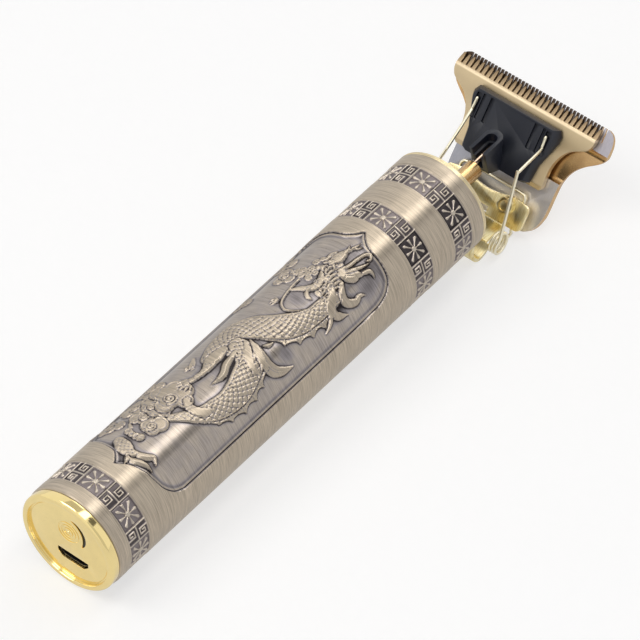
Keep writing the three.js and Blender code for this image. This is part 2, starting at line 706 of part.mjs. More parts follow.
function bladeCarrier() {
  const grooves = CARRIER_GROOVES.flatMap(({ x, s, width, length, deep }) =>
    [-1, 1].map((side) => {
      const plan = roundedBox(side * x, s, width, length, 0.3);
      return slab(plan, CARRIER_TOP - deep, CARRIER_TOP + 1);
    }),
  );
  const pegs = [-1, 1].map((side) => {
    const { x, s } = CARRIER_PEG;
    return peg(1.0, side * x, s, -MOVING_T + 0.1, 0.6);
  });
  const plate = onBlade(cut(joined(carrierPlate(), ...pegs), ...grooves));
  const slot = forkSlot(FORK.slotHalf, -2.4, 6);
  const funnel = forkSlot(FUNNEL.half, FUNNEL.from, 6);
  return cut(joined(plate, carrierFork()), slot, funnel).translate([CUTTER_REST_X, 0, 0]);
}

// A screw from the skin side: a flat head sunk in the fixed blade, and a shank up through the bracket.
function bladeScrew(side) {
  const skin = CUT_H - FIXED_T;
  const { x, s } = SCREW_AT;
  const cross = [[-0.3, -1.6], [0.3, -1.6], [0.3, 1.6], [-0.3, 1.6]];
  const slot = slab(outline(cross), skin - 0.2, skin + 0.35);
  const slotAcross = slot.rotate([0, 0, 90]);
  const body = joined(peg(2.4, 0, 0, skin + 0.1, skin + 0.7), peg(1.0, 0, 0, skin + 0.6, 2.8));
  return onBlade(cut(body, slot, slotAcross).translate([side * x, s, 0]));
}

place(bodyGroup, "fixed_blade", fixedBlade(), MAT.plated);
place(cutterGroup, "moving_blade", movingBlade(), MAT.champagne);
place(cutterGroup, "blade_carrier", bladeCarrier(), MAT.blackPlastic);
place(bodyGroup, "blade_screw_left", bladeScrew(-1), MAT.steel);
place(bodyGroup, "blade_screw_right", bladeScrew(1), MAT.steel);

// ---------------------------------------------------------------- torsion spring

// A bent line with each inner corner replaced by two points, so that a smooth curve keeps its straights.
function softened(points, reach) {
  const soft = [points[0]];
  for (let i = 1; i < points.length - 1; i++) {
    for (const other of [points[i - 1], points[i + 1]]) {
      const share = Math.min(reach / points[i].distanceTo(other), 0.45);
      soft.push(points[i].clone().lerp(other, share));
    }
  }
  soft.push(points[points.length - 1]);
  return soft;
}

// The leg in (x, s): from the coil, along the blade and across to the bridge.
const SPRING_LEG = [
  [9.6, -21.9], [9.4, -20.7], [9.4, -17], [9.4, -13.2], [9.1, -12.2], [8.3, -11.7], [4, -11.6],
];

// Points of one half, from the tip on the carrier through the coil to the middle of the bridge.
function springHalf(side) {
  const word = side < 0 ? "left" : "right";
  const bend = ARM_BEND[word];
  const tip = SPRING_TIP_X[word];
  const start = THREE.MathUtils.degToRad(146);
  const entry = [COIL.y + COIL.r * Math.cos(start), COIL.z + COIL.r * Math.sin(start)];
  const points = softened([
    bladePoint(tip, 4.1, 2.65),
    bladePoint(tip + side * 0.15, 0.6, 2.55),
    new THREE.Vector3(bend.x, bend.y, bend.z),
    new THREE.Vector3(side * (COIL.x + 1), entry[0] + 1.5, entry[1] + 2.2),
  ], 0.8);
  const end = THREE.MathUtils.degToRad(270 + 720);
  const steps = 30;
  for (let i = 0; i <= steps; i++) {
    const angle = start + ((end - start) * i) / steps;
    const turn = (angle - start) / (2 * Math.PI);
    const x = COIL.x + 1.0 - turn * COIL.pitch;
    const y = COIL.y + COIL.r * Math.cos(angle);
    const z = COIL.z + COIL.r * Math.sin(angle);
    points.push(new THREE.Vector3(side * x, y, z));
  }
  for (const [x, s] of SPRING_LEG) {
    points.push(bladePoint(side * x, s, -0.9));
  }
  return points;
}

function torsionSpring() {
  const path = new THREE.CatmullRomCurve3([...springHalf(-1), ...springHalf(1).reverse()]);
  path.arcLengthDivisions = 1500;
  const wire = new THREE.Shape();
  wire.absarc(0, 0, WIRE_R, 0, 2 * Math.PI, false);
  return new THREE.ExtrudeGeometry(wire, {
    steps: 130,
    curveSegments: 3,
    extrudePath: path,
    bevelEnabled: false,
  });
}

place(bodyGroup, "torsion_spring", solid(torsionSpring()), MAT.gold);

// ---------------------------------------------------------------- origin

// The origin is the centre of the underside of the whole clipper.
const bounds = new THREE.Box3().setFromObject(clipper);
const centre = bounds.getCenter(new THREE.Vector3());
clipper.position.set(-centre.x, -centre.y, -bounds.min.z);

export default clipper;
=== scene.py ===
# %% [markdown]
# # A cordless T-blade hair clipper
#
# A round metal barrel with a dragon pressed into it, a gilt charging cap at one end and a tilted
# T-shaped blade set at the other. The solid parts of the clipper arrive ready made and in their right
# places. This lesson gives them their fine shape and their finish, one piece at a time.
#
# The real barrel is a turned and pressed metal tube. Most of its looks are relief, so the lesson first
# builds a small set of tools for drawing in height, and then bends the drawing round the barrel.

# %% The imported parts
import math

import bmesh
import bpy
import numpy as np
from mathutils import Matrix, Vector


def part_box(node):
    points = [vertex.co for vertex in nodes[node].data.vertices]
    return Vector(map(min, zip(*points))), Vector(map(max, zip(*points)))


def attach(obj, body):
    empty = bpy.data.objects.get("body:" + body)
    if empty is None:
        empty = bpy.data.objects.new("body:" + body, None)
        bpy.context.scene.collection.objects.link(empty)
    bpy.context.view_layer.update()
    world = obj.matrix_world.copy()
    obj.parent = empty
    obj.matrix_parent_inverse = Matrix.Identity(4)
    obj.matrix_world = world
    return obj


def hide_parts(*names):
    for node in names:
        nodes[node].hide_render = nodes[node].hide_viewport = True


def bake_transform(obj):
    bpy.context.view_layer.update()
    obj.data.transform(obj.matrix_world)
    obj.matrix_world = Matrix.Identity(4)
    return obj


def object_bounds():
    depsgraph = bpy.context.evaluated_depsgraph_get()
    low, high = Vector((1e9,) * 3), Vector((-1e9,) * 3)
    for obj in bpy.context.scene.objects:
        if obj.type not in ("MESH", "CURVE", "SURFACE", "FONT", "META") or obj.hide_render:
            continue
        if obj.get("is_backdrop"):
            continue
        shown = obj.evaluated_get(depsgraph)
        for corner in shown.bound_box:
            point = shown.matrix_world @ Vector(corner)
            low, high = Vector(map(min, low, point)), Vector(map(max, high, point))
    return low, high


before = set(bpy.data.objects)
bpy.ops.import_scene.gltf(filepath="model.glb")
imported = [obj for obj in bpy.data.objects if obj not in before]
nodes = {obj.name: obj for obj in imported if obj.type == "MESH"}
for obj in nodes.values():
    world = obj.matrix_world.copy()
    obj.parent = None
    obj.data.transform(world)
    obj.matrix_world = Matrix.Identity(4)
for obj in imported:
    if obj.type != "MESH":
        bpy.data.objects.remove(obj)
cad_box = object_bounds()

# %% [markdown]
# Everything is drawn in millimetres in the barrel's own frame: y runs along the barrel from the face of
# the cap, x goes to the right and z is up, with the barrel's axis at x = 0 and z = 0. The barrel's CAD
# solid says where that frame lies in the scene, so no piece has to be fitted afterwards.

# %% The barrel's frame
MM = 0.001
shell_low, shell_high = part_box("barrel_shell")
cap_low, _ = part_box("end_cap")
BARREL_ORIGIN = np.array([(shell_low.x + shell_high.x) / 2, cap_low.y, (shell_low.z + shell_high.z) / 2])
BARREL_R = (shell_high.x - shell_low.x) / 2 / MM
BARREL_START = (shell_low.y - cap_low.y) / MM
BARREL_END = (shell_high.y - cap_low.y) / MM


def placed(points):
    """Points in the barrel's millimetres, as metres in the scene."""
    return np.asarray(points, float) * MM + BARREL_ORIGIN


print(f"barrel radius {BARREL_R:.2f} mm, from y {BARREL_START:.1f} to {BARREL_END:.1f} mm")

# %% [markdown]
# ## Camera, floor and light
#
# The clipper is seen from above and from its right, along its length, through a long lens, so the
# far blade looks hardly smaller than the near cap. The camera is placed by its direction and distance
# from a point near the middle of the barrel.

# %% Camera
VIEW_AZIMUTH, VIEW_ELEVATION, VIEW_ROLL = (math.radians(a) for a in (37.38, 48.49, 1.69))
VIEW_DISTANCE = 1134
AIM_RIGHT, AIM_UP = 4.36, 1.93  # from the barrel's middle to the centre of the frame, in millimetres
BARREL_MIDDLE = 81
SENSOR_WIDTH, LENS = 36, 283.2

level_right = Vector((math.cos(VIEW_AZIMUTH), math.sin(VIEW_AZIMUTH), 0))
back = Vector((
    math.sin(VIEW_AZIMUTH) * math.cos(VIEW_ELEVATION),
    -math.cos(VIEW_AZIMUTH) * math.cos(VIEW_ELEVATION),
    math.sin(VIEW_ELEVATION),
))
level_up = back.cross(level_right)
right = level_right * math.cos(VIEW_ROLL) + level_up * math.sin(VIEW_ROLL)
up = back.cross(right)
aim = Vector((0, BARREL_MIDDLE, 0)) + right * AIM_RIGHT + up * AIM_UP

camera = bpy.data.objects.new("camera", bpy.data.cameras.new("camera"))
bpy.context.scene.collection.objects.link(camera)
camera.data.sensor_width, camera.data.lens = SENSOR_WIDTH, LENS
camera.data.clip_start, camera.data.clip_end = 0.05, 20
turn = Matrix((right, up, back)).transposed().to_4x4()
camera.matrix_world = Matrix.Translation(Vector(placed(aim + back * VIEW_DISTANCE))) @ turn
bpy.context.scene.camera = camera
print("camera at", [round(c, 3) for c in camera.location])

# %% [markdown]
# Materials are written as node trees. These few helpers keep each finish short: one makes the material
# and its shader, the others add a node with its inputs and hand back its output. A socket knows the tree
# that it is in, as its id_data, so most helpers need not be told.

# %% Node helpers
def srgb(red, green, blue):
    """A colour given as 0 to 255 on screen, as the linear colour that shaders use."""
    levels = [c / 255 for c in (red, green, blue)]
    return tuple(c / 12.92 if c <= 0.04045 else ((c + 0.055) / 1.055) ** 2.4 for c in levels) + (1.0,)


def grey(level):
    return (level, level, level, 1.0)


def darker(colour, share):
    return tuple(share * c for c in colour[:3]) + (1.0,)


def add_node(tree, kind, inputs=None, **settings):
    """A node whose inputs are set from numbers, colours or other nodes' outputs."""
    node = tree.nodes.new("ShaderNode" + kind)
    for key, value in settings.items():
        setattr(node, key, value)
    for key, value in (inputs or {}).items():
        if isinstance(value, bpy.types.NodeSocket):
            tree.links.new(value, node.inputs[key])
        else:
            node.inputs[key].default_value = value
    return node


def new_finish(name, colour, metallic=0.0, roughness=0.5, **sockets):
    """A material with a Principled shader; the sockets are set by name, with _ for a space."""
    material = bpy.data.materials.new(name)
    material.use_nodes = True
    tree = material.node_tree
    shader = tree.nodes["Principled BSDF"]
    values = {"Base Color": colour, "Metallic": metallic, "Roughness": roughness}
    values.update({key.replace("_", " "): value for key, value in sockets.items()})
    for key, value in values.items():
        shader.inputs[key].default_value = value
    return material, tree, shader


def empty_finish(name):
    """A material whose node tree starts empty, for what only glows or only the floor needs."""
    material = bpy.data.materials.new(name)
    material.use_nodes = True
    material.node_tree.nodes.clear()
    return material, material.node_tree


def maths(operation, a, b=0.0, clamp=False):
    return add_node(a.id_data, "Math", {0: a, 1: b}, operation=operation, use_clamp=clamp).outputs[0]


def between(value, low, high, to_low=0.0, to_high=1.0):
    """A value between two limits, stretched to two others."""
    inputs = {0: value, 1: low, 2: high, 3: to_low, 4: to_high}
    return add_node(value.id_data, "MapRange", inputs).outputs[0]


def noise(vector, scale, detail=3.0, roughness=0.5):
    inputs = {"Vector": vector, "Scale": scale, "Detail": detail, "Roughness": roughness}
    return add_node(vector.id_data, "TexNoise", inputs).outputs["Fac"]


def ramp(share, stops):
    """A colour ramp from (place, colour) stops."""
    node = add_node(share.id_data, "ValToRGB", {"Fac": share})
    marks = node.color_ramp.elements
    while len(marks) < len(stops):
        marks.new(0.5)
    for mark, (place, colour) in zip(marks, stops):
        mark.position = place
        mark.color = colour
    return node.outputs["Color"]


def blend_colours(share, first, second, mode="MIX"):
    inputs = {0: share, 6: first, 7: second}
    return add_node(first.id_data, "Mix", inputs, data_type="RGBA", blend_type=mode).outputs[2]


def feed(shader, value, socket="Base Color"):
    """Links a value to a socket of the shader, which is its colour unless another is named."""
    shader.id_data.links.new(value, shader.inputs[socket])


def uneven_roughness(shader, share, span, least):
    """Roughness that goes up from the least by a span, where share is from 0 to 1."""
    feed(shader, maths("ADD", maths("MULTIPLY", share, span), least), "Roughness")


def bump(shader, height, strength, distance, under=None):
    inputs = {"Height": height, "Strength": strength, "Distance": distance}
    if under is not None:
        inputs["Normal"] = under
    normal = add_node(shader.id_data, "Bump", inputs).outputs["Normal"]
    feed(shader, normal, "Normal")
    return normal


def surface_point(tree):
    """The point on the surface in scene metres, which for these pieces is their object space."""
    return add_node(tree, "TexCoord").outputs["Object"]


# %% [markdown]
# The clipper lies on its back. Its lowest points are the cap's rim and the underside of the head, so
# the floor is a plane that touches the rim and leans just enough to touch the head as well. The floor
# glows a little for the camera and for reflections only: what it adds brings a pale floor up to white,
# and the part that the lamps light still darkens in the clipper's shadow.

# %% Floor and backdrop
FLOOR_HALF = 4.0
FLOOR_GAP = 0.0002
FLOOR_GLOW = 0.62
FLOOR_MIRRORED = 0.44
CORNERS = ((-1, -1), (1, -1), (1, 1), (-1, 1))

rear_touch = Vector((0, cap_low.y, cap_low.z))
lean = max(
    (rear_touch.z - v.co.z) / (v.co.y - rear_touch.y)
    for name in ("torsion_spring", "fixed_blade", "head_bracket", "blade_screw_left", "switch_slider")
    for v in nodes[name].data.vertices
)


def floor_finish():
    material, tree = empty_finish("pale_floor")
    grain = noise(surface_point(tree), 900.0)
    paper = ramp(grain, [(0.35, grey(0.42)), (0.65, grey(0.44))])
    lit = add_node(tree, "BsdfDiffuse", {"Color": paper}).outputs[0]
    rays = add_node(tree, "LightPath").outputs
    seen = maths("MAXIMUM", rays["Is Camera Ray"], rays["Is Transmission Ray"])
    level = between(seen, 0.0, 1.0, FLOOR_MIRRORED, FLOOR_GLOW)
    glow = add_node(tree, "Emission", {"Color": grey(1.0), "Strength": level}).outputs[0]
    shown = add_node(tree, "AddShader", {0: lit, 1: glow}).outputs[0]
    plain = add_node(tree, "BsdfDiffuse", {"Color": grey(0.8)}).outputs[0]
    either = maths("MAXIMUM", seen, rays["Is Glossy Ray"])
    mixed = add_node(tree, "MixShader", {0: either, 1: plain, 2: shown}).outputs[0]
    tree.links.new(mixed, add_node(tree, "OutputMaterial").inputs["Surface"])
    return material


def stage_sheet(name, corners, material):
    """A flat rectangle that belongs to the studio and not to the clipper."""
    mesh = bpy.data.meshes.new(name)
    mesh.from_pydata(corners, [], [(0, 1, 2, 3)])
    mesh.materials.append(material)
    sheet = bpy.data.objects.new(name, mesh)
    bpy.context.scene.collection.objects.link(sheet)
    sheet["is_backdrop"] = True
    return sheet


floor_corners = [
    (x * FLOOR_HALF, y * FLOOR_HALF, rear_touch.z - lean * (y * FLOOR_HALF - rear_touch.y) - FLOOR_GAP)
    for x, y in CORNERS
]
stage_sheet("floor", floor_corners, floor_finish())
print(f"the floor leans {math.degrees(math.atan(lean)):.2f} degrees")

# %% [markdown]
# Polished and brushed metal shows what stands round it, so the light is a studio of strips that run
# along the barrel like the sides of a tunnel: a narrow bright lamp, wider lamps before and behind it,
# dark flags beside it that give the metal a shaded stripe, and grey cards. A strip is given by the
# angles between which it stands, from straight above the barrel towards its right, and by its ends
# along the barrel in metres. The flags and cards are there for reflections only.

# %% Light
STUDIO_R = 0.95
LAMP_COLOUR = (1.0, 0.965, 0.9)


def strip_frame(angles, ends):
    """Turn and place, width and length of a strip that faces the barrel's axis."""
    middle, half = math.radians(sum(angles) / 2), math.radians((angles[1] - angles[0]) / 2)
    away = Vector((math.sin(middle), 0, math.cos(middle)))
    along = Vector((0, 1, 0))
    across = along.cross(away)
    turn = Matrix((across, along, away)).transposed().to_4x4()
    where = Matrix.Translation(away * STUDIO_R + along * sum(ends) / 2)
    return where @ turn, 2 * STUDIO_R * math.tan(half), ends[1] - ends[0]


def strip_lamp(name, angles, ends, brightness):
    """An area lamp; brightness is what a mirror would show, where 1 is white."""
    place, width, length = strip_frame(angles, ends)
    lamp = bpy.data.lights.new(name, "AREA")
    lamp.shape = "RECTANGLE"
    lamp.size, lamp.size_y = width, length
    lamp.color = LAMP_COLOUR
    lamp.energy = brightness * math.pi * width * length
    stand = bpy.data.objects.new(name, lamp)
    bpy.context.scene.collection.objects.link(stand)
    stand.matrix_world = place
    stand.visible_camera = False


def card_finish(name, tone):
    material, tree = empty_finish(name)
    mottled = ramp(noise(surface_point(tree), 6.0), [(0.3, grey(0.9)), (0.7, grey(1.0))])
    glow = add_node(tree, "Emission", {"Color": mottled, "Strength": tone}).outputs[0]
    tree.links.new(glow, add_node(tree, "OutputMaterial").inputs["Surface"])
    return material


def strip_card(name, angles, ends, tone):
    """A flat card that only reflections see."""
    place, width, length = strip_frame(angles, ends)
    corners = [(x * width / 2, y * length / 2, 0) for x, y in CORNERS]
    card = stage_sheet(name, corners, card_finish(name, tone))
    card.matrix_world = place
    card.visible_camera = card.visible_diffuse = card.visible_shadow = False


strip_lamp("lamp_narrow", (1.5, 18), (-0.6, 1.9), 1.85)
strip_lamp("lamp_before", (-40, -7), (0.9, 2.1), 2.3)
strip_lamp("lamp_behind", (-40, -7), (-0.8, -0.25), 3.4)
strip_card("flag_dark", (22.5, 37), (0.2, 0.85), 0.17)
strip_card("flag_before_cap", (18.6, 22.4), (0.47, 0.68), 0.05)
strip_card("card_olive", (-34, 0), (-0.2, 0.8), 0.6)
strip_card("card_before", (24, 105), (0.9, 2.1), 0.68)
strip_card("card_behind", (24, 105), (-1.3, 0.15), 0.68)

# %% [markdown]
# The rest of the room is a plain world. It lights the clipper with a soft grey, metal sees it a little
# brighter, and the camera sees it white.

# %% The room
WORLD_GREY = 0.55
REFLECTED_GREY = 0.92
world = bpy.data.worlds.new("studio")
bpy.context.scene.world = world
world.use_nodes = True
tree = world.node_tree
tree.nodes.clear()


def background(colour, strength):
    return add_node(tree, "Background", {"Color": colour, "Strength": strength}).outputs[0]


rays = add_node(tree, "LightPath").outputs
shade, mirrored_grey = background(srgb(214, 216, 222), WORLD_GREY), background(grey(1.0), REFLECTED_GREY)
unseen = add_node(tree, "MixShader", {0: rays["Is Glossy Ray"], 1: shade, 2: mirrored_grey}).outputs[0]
through = maths("MAXIMUM", rays["Is Camera Ray"], rays["Is Transmission Ray"])
backdrop = add_node(tree, "MixShader", {0: through, 1: unseen, 2: background(grey(1.0), 1.0)}).outputs[0]
tree.links.new(backdrop, add_node(tree, "OutputWorld").inputs["Surface"])
bpy.context.scene.view_settings.view_transform = "Standard"
print("world nodes:", len(tree.nodes))

# %% [markdown]
# ## Tools for making pieces
#
# A piece is a mesh with a material that rides on one of the clipper's bodies. One function finishes
# every piece in the same way: it smooths the mesh but keeps its real edges sharp, hides the CAD nodes
# that the piece stands for, and gives it its finish.

# %% Making a piece
def dress(piece, body, material, stands_for=(), crease=32):
    mesh = piece.data
    mesh.materials.clear()
    mesh.materials.append(material)
    mesh.polygons.foreach_set("use_smooth", np.ones(len(mesh.polygons), bool))
    mesh.set_sharp_from_angle(angle=math.radians(crease))
    if body:
        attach(piece, body)
    if stands_for:
        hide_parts(*stands_for)
    print(f"{piece.name}: {sum(len(p.vertices) - 2 for p in mesh.polygons)} triangles")


def new_mesh(name, points, faces):
    """An object from points in the barrel's millimetres and faces of point numbers, all facing out."""
    mesh = bpy.data.meshes.new(name)
    mesh.from_pydata(placed(points).tolist(), [], [tuple(int(i) for i in f) for f in faces])
    work_mesh = bmesh.new()
    work_mesh.from_mesh(mesh)
    bmesh.ops.recalc_face_normals(work_mesh, faces=work_mesh.faces)
    work_mesh.to_mesh(mesh)
    work_mesh.free()
    piece = bpy.data.objects.new(name, mesh)
    bpy.context.scene.collection.objects.link(piece)
    return piece


# %% [markdown]
# Holes are cut and bosses joined by Boolean modifiers with the exact solver, and edges are rounded by a
# Bevel modifier. Each modifier is put into the mesh at once, so the finished piece is plain geometry.

# %% Cutting, joining and rounding
def settle(piece):
    """Puts a piece's modifiers into its mesh."""
    bpy.context.view_layer.update()
    shaped = piece.evaluated_get(bpy.context.evaluated_depsgraph_get())
    mesh = bpy.data.meshes.new_from_object(shaped)
    piece.modifiers.clear()
    piece.data = mesh
    return piece


def work(piece, operation, *tools):
    """Cuts each tool out of a piece, or joins it to the piece, and throws the tool away."""
    for tool in tools:
        step = piece.modifiers.new(operation, "BOOLEAN")
        step.operation = operation
        step.object = tool
        step.solver = "EXACT"
        settle(piece)
        bpy.data.objects.remove(tool)


def cut_out(piece, *tools):
    work(piece, "DIFFERENCE", *tools)


def join_on(piece, *others):
    work(piece, "UNION", *others)


def soften_edges(piece, width, angle=30):
    """Rounds every edge sharper than the angle; the width is in millimetres."""
    step = piece.modifiers.new("round", "BEVEL")
    step.width = width * MM
    step.segments = 2
    step.limit_method = "ANGLE"
    step.angle_limit = math.radians(angle)
    step.harden_normals = False
    return settle(piece)


# %% [markdown]
# Turned pieces, such as the cap and the hub, are profiles swept round the barrel's axis. Flat pieces are
# outlines with a thickness. Both are plain lists of rings, so one function can skin them: each ring of
# points is joined to the next, and the ends are closed.

# %% Skins, turned pieces and slabs
def strip_faces(count, first, second):
    """Faces between two rings of points, given the number of each ring's first point."""
    return [(first + i, first + (i + 1) % count, second + (i + 1) % count, second + i) for i in range(count)]


def skin(name, rings, looped=False):
    """A mesh through rings with equal numbers of points; a looped one ends where it began."""
    count = len(rings[0])
    faces = []
    for k in range(len(rings) if looped else len(rings) - 1):
        faces += strip_faces(count, k * count, (k + 1) % len(rings) * count)
    if not looped:
        last = (len(rings) - 1) * count
        faces += [tuple(range(count))[::-1], tuple(range(last, last + count))]
    return new_mesh(name, np.vstack(rings), faces)


def round_ring(angle, radius, y, x=0.0, z=0.0):
    """Points at angles round a line along Y; the radius may differ from point to point."""
    level = np.full(len(angle), float(y))
    return np.column_stack([x + radius * np.sin(angle), level, z + radius * np.cos(angle)])


def circle(radius, y, segments=96, x=0.0, z=0.0):
    return round_ring(np.linspace(0, 2 * np.pi, segments, endpoint=False), radius, y, x, z)


def turned(name, profile, segments=96, x=0.0, z=0.0, looped=False):
    """A body of revolution from (radius, y) pairs; a profile that is not looped ends on flat faces."""
    return skin(name, [circle(r, y, segments, x, z) for r, y in profile], looped)


def raised(flat, height):
    """An outline in two numbers with the same third number at every point."""
    return np.column_stack([flat, np.full(len(flat), float(height))])


def slab(name, outline, low, high, frame_of=lambda p: p):
    """An outline drawn in two numbers, thickened along the third, and moved by frame_of."""
    flat = np.asarray(outline, float)
    return skin(name, [frame_of(raised(flat, h)) for h in (low, high)])


def prism(name, section, half_width, frame_of=lambda p: p):
    """A section drawn in the last two numbers, drawn out along the first."""
    section = np.asarray(section, float)
    ends = [np.column_stack([np.full(len(section), x), section]) for x in (-half_width, half_width)]
    return skin(name, [frame_of(end) for end in ends])


def standing(points):
    """(x, z, y) to (x, y, z), for outlines drawn on the face of the cap."""
    return points[:, [0, 2, 1]]


# %% [markdown]
# Outlines are drawn from a few points. A soft curve through them stands in for a hand-drawn line, and
# a rectangle gets round corners, as a milling cutter leaves them.

# %% Soft lines and outlines
def smooth(points, per_span=14):
    """A soft curve through the points, as a Catmull-Rom spline."""
    p = np.array([points[0]] + list(points) + [points[-1]], float)
    t = np.linspace(0, 1, per_span, endpoint=False)[:, None]
    runs = [
        0.5 * (2 * b + (c - a) * t + (2 * a - 5 * b + 4 * c - d) * t**2 + (3 * b - a - 3 * c + d) * t**3)
        for a, b, c, d in zip(p, p[1:], p[2:], p[3:])
    ]
    return np.vstack(runs + [p[-1:]])


def box_outline(x, y, half_x, half_y):
    return [(x + sx * half_x, y + sy * half_y) for sx, sy in CORNERS]


def rounded_box(x, y, width, height, radius, steps=6):
    """The outline of a rectangle with round corners."""
    points = []
    for sx, sy, start in ((1, -1, -90), (1, 1, 0), (-1, 1, 90), (-1, -1, 180)):
        for angle in np.radians(np.linspace(start, start + 90, steps)):
            points.append((
                x + sx * (width / 2 - radius) + radius * math.cos(angle),
                y + sy * (height / 2 - radius) + radius * math.sin(angle),
            ))
    return points


def disc(x, y, radius, segments=32):
    angle = np.linspace(0, 2 * np.pi, segments, endpoint=False)
    return np.column_stack([x + radius * np.cos(angle), y + radius * np.sin(angle)])


print("a soft curve through three points has", len(smooth([(0, 0), (1, 0), (1, 1)])), "points")

# %% [markdown]
# ## Drawing in relief
#
# The barrel's dragon is pressed from one sheet, so it is a height above the ground at every point. A
# sculpted mesh would be the usual way. Here it is drawn instead: a sheet of heights, and forms laid on
# it one over another, from far to near. Each form fades what lies under it, adds its own rounded
# height and presses a thin line round its edge, as an engraver's tool does. The sheet's two
# directions are u, the way round the barrel from its top in millimetres, and y along it.

# %% A sheet of heights
PRESSED_LINE = 0.2
STRAND_MARGIN = 0.6


def spread(values, share):
    """Values given at even steps, read between them at a share from 0 to 1."""
    values = np.atleast_1d(np.asarray(values, float))
    return np.interp(share, np.linspace(0, 1, len(values)), values)


def ease(x):
    x = np.clip(x, 0, 1)
    return x * x * (3 - 2 * x)


def stripe(distance, half):
    """A soft stripe where a distance is near 0."""
    return np.exp(-((distance / half) ** 2))


class Relief:
    def __init__(self, u, v):
        self.u, self.v = u, v
        self.U, self.V = np.meshgrid(u, v)
        self.H = np.zeros_like(self.U)

    def window(self, line, reach):
        """The part of the sheet that lies within reach of a line."""
        (u0, v0), (u1, v1) = line.min(0) - reach, line.max(0) + reach
        return slice(*np.searchsorted(self.v, (v0, v1))), slice(*np.searchsorted(self.u, (u0, u1)))

    def along(self, line, reach):
        """For each point: how far along the line it lies, and its signed distance from it."""
        win = self.window(line, reach)
        U, V = self.U[win], self.V[win]
        best = np.full(U.shape, 1e9)
        run = np.zeros_like(best)
        side = np.ones_like(best)
        start = 0.0
        for a, b in zip(line, line[1:]):
            length = math.hypot(*(b - a))
            if length < 1e-9:
                continue
            du, dv = (b - a) / length
            s = np.clip((U - a[0]) * du + (V - a[1]) * dv, 0, length)
            pu, pv = U - a[0] - s * du, V - a[1] - s * dv
            d = np.hypot(pu, pv)
            nearer = d < best
            best = np.where(nearer, d, best)
            run = np.where(nearer, start + s, run)
            side = np.where(nearer, np.where(du * pv - dv * pu >= 0, 1.0, -1.0), side)
            start += length
        return win, run, best * side, start

    def lay(self, win, inside, top, off, lift, groove):
        """Puts a form down: off is the distance outside its edge, lift the share kept of what is under."""
        under = self.H[win]
        ditch = groove * stripe(off, PRESSED_LINE)
        pressed = under - np.minimum(ditch, np.maximum(under, 0.05))
        self.H[win] = np.where(inside, lift * under + top, pressed)

    def strand(self, points, half, high, lift=0.75, groove=0.1, crown=2.4, lines=0):
        """A rounded strand along a soft curve, with half its width and its height given along it."""
        line = smooth(points)
        win, run, d, total = self.along(line, np.max(half) + STRAND_MARGIN)
        t = run / total
        w = np.maximum(spread(half, t), 1e-3)
        s = np.abs(d) / w
        top = spread(high, t) * np.sqrt(np.clip(1 - s**crown, 0, 1))
        if lines:
            top = top + 0.07 * np.cos(np.pi * lines * d / w) * (s < 0.9) * ease((w - 0.2) / 0.5)
        self.lay(win, s < 1, top, np.abs(d) - w, lift, groove * (w > 0.15))

    def dome(self, u, v, r, high, lift=0.6, groove=0.08):
        win = self.window(np.array([[u, v], [u, v]], float), r + 0.4)
        d = np.hypot(self.U[win] - u, self.V[win] - v)
        self.lay(win, d < r, high * np.sqrt(np.clip(1 - (d / r) ** 2, 0, 1)), d - r, lift, groove)


# %% [markdown]
# A dragon's skin is rows of overlapping scales. Each row is half a step out from the one before, and
# a scale is low at its root and highest at its round edge, where the next scale begins. The body is
# a thick strand with scales on its back, ribs along its belly and a scalloped fin outside.

# %% Scales and the body
SCALE_LONG, SCALE_WIDE = 1.75, 1.5
RAY_PITCH = 3.1
BELLY_EDGE = -0.72
BACK_SEAM = 0.9
RIB_PITCH = 0.9
FIN_LINES = 0.62


def scales(a, b, long, wide):
    """Height of scales, 0 to 1, in a diamond net: a runs along the body, b across it."""
    p, q = a / long + b / wide, a / long - b / wide
    net = np.abs(np.sin(np.pi * p) * np.sin(np.pi * q))
    lean = 0.5 + 0.5 * np.cos(2 * np.pi * (a / long + 0.35 * (np.floor(p) - np.floor(q)) % 2))
    return np.minimum(1, 2.6 * net) ** 0.6 * (0.85 + 0.15 * lean)


def serpent(R, points, half, high, deep, fin_size, fin_shape):
    """The body: deep says how deep the net between the scales is along it."""
    line = smooth(points, 24)
    win, run, d, total = R.along(line, np.max(half) + fin_size + 0.7)
    t = run / total
    w = spread(half, t)
    s = d / w
    off = d - w
    # the fin's edge runs in hollow scallops between pointed rays
    x = (run / RAY_PITCH) % 1.0
    near_ray = np.minimum(x, 1 - x)
    reach = fin_size * spread(fin_shape, t) * (0.42 + 0.75 * np.exp(-near_ray / 0.16))
    ray = 0.1 * stripe(near_ray * RAY_PITCH, 0.2) + 0.03 * np.cos(2 * np.pi * run / FIN_LINES)
    rim = 0.1 * stripe(off - reach + 0.16, 0.15)
    fin = (off > -0.5) & (off < reach)
    R.lay(win, fin, 0.27 + ray + rim, np.where(off > 0, off - reach, 9), 0.6, 0.06)
    dome = spread(high, t) * np.sqrt(np.clip(1 - np.abs(s) ** 2.3, 0, 1))
    ribs = 0.1 + 0.05 * np.cos(2 * np.pi * run / RIB_PITCH)
    skin_height = np.where(s > BELLY_EDGE, spread(deep, t) * scales(run, d, SCALE_LONG, SCALE_WIDE), ribs)
    seams = 0.07 * stripe((s - BACK_SEAM) * w, 0.14) - 0.12 * stripe((s - BELLY_EDGE) * w, 0.12)
    top = dome + (skin_height + seams) * ease((1 - np.abs(s)) * w / 0.35)
    R.lay(win, np.abs(s) < 1, top, np.abs(d) - w, 0.3, 0.09)


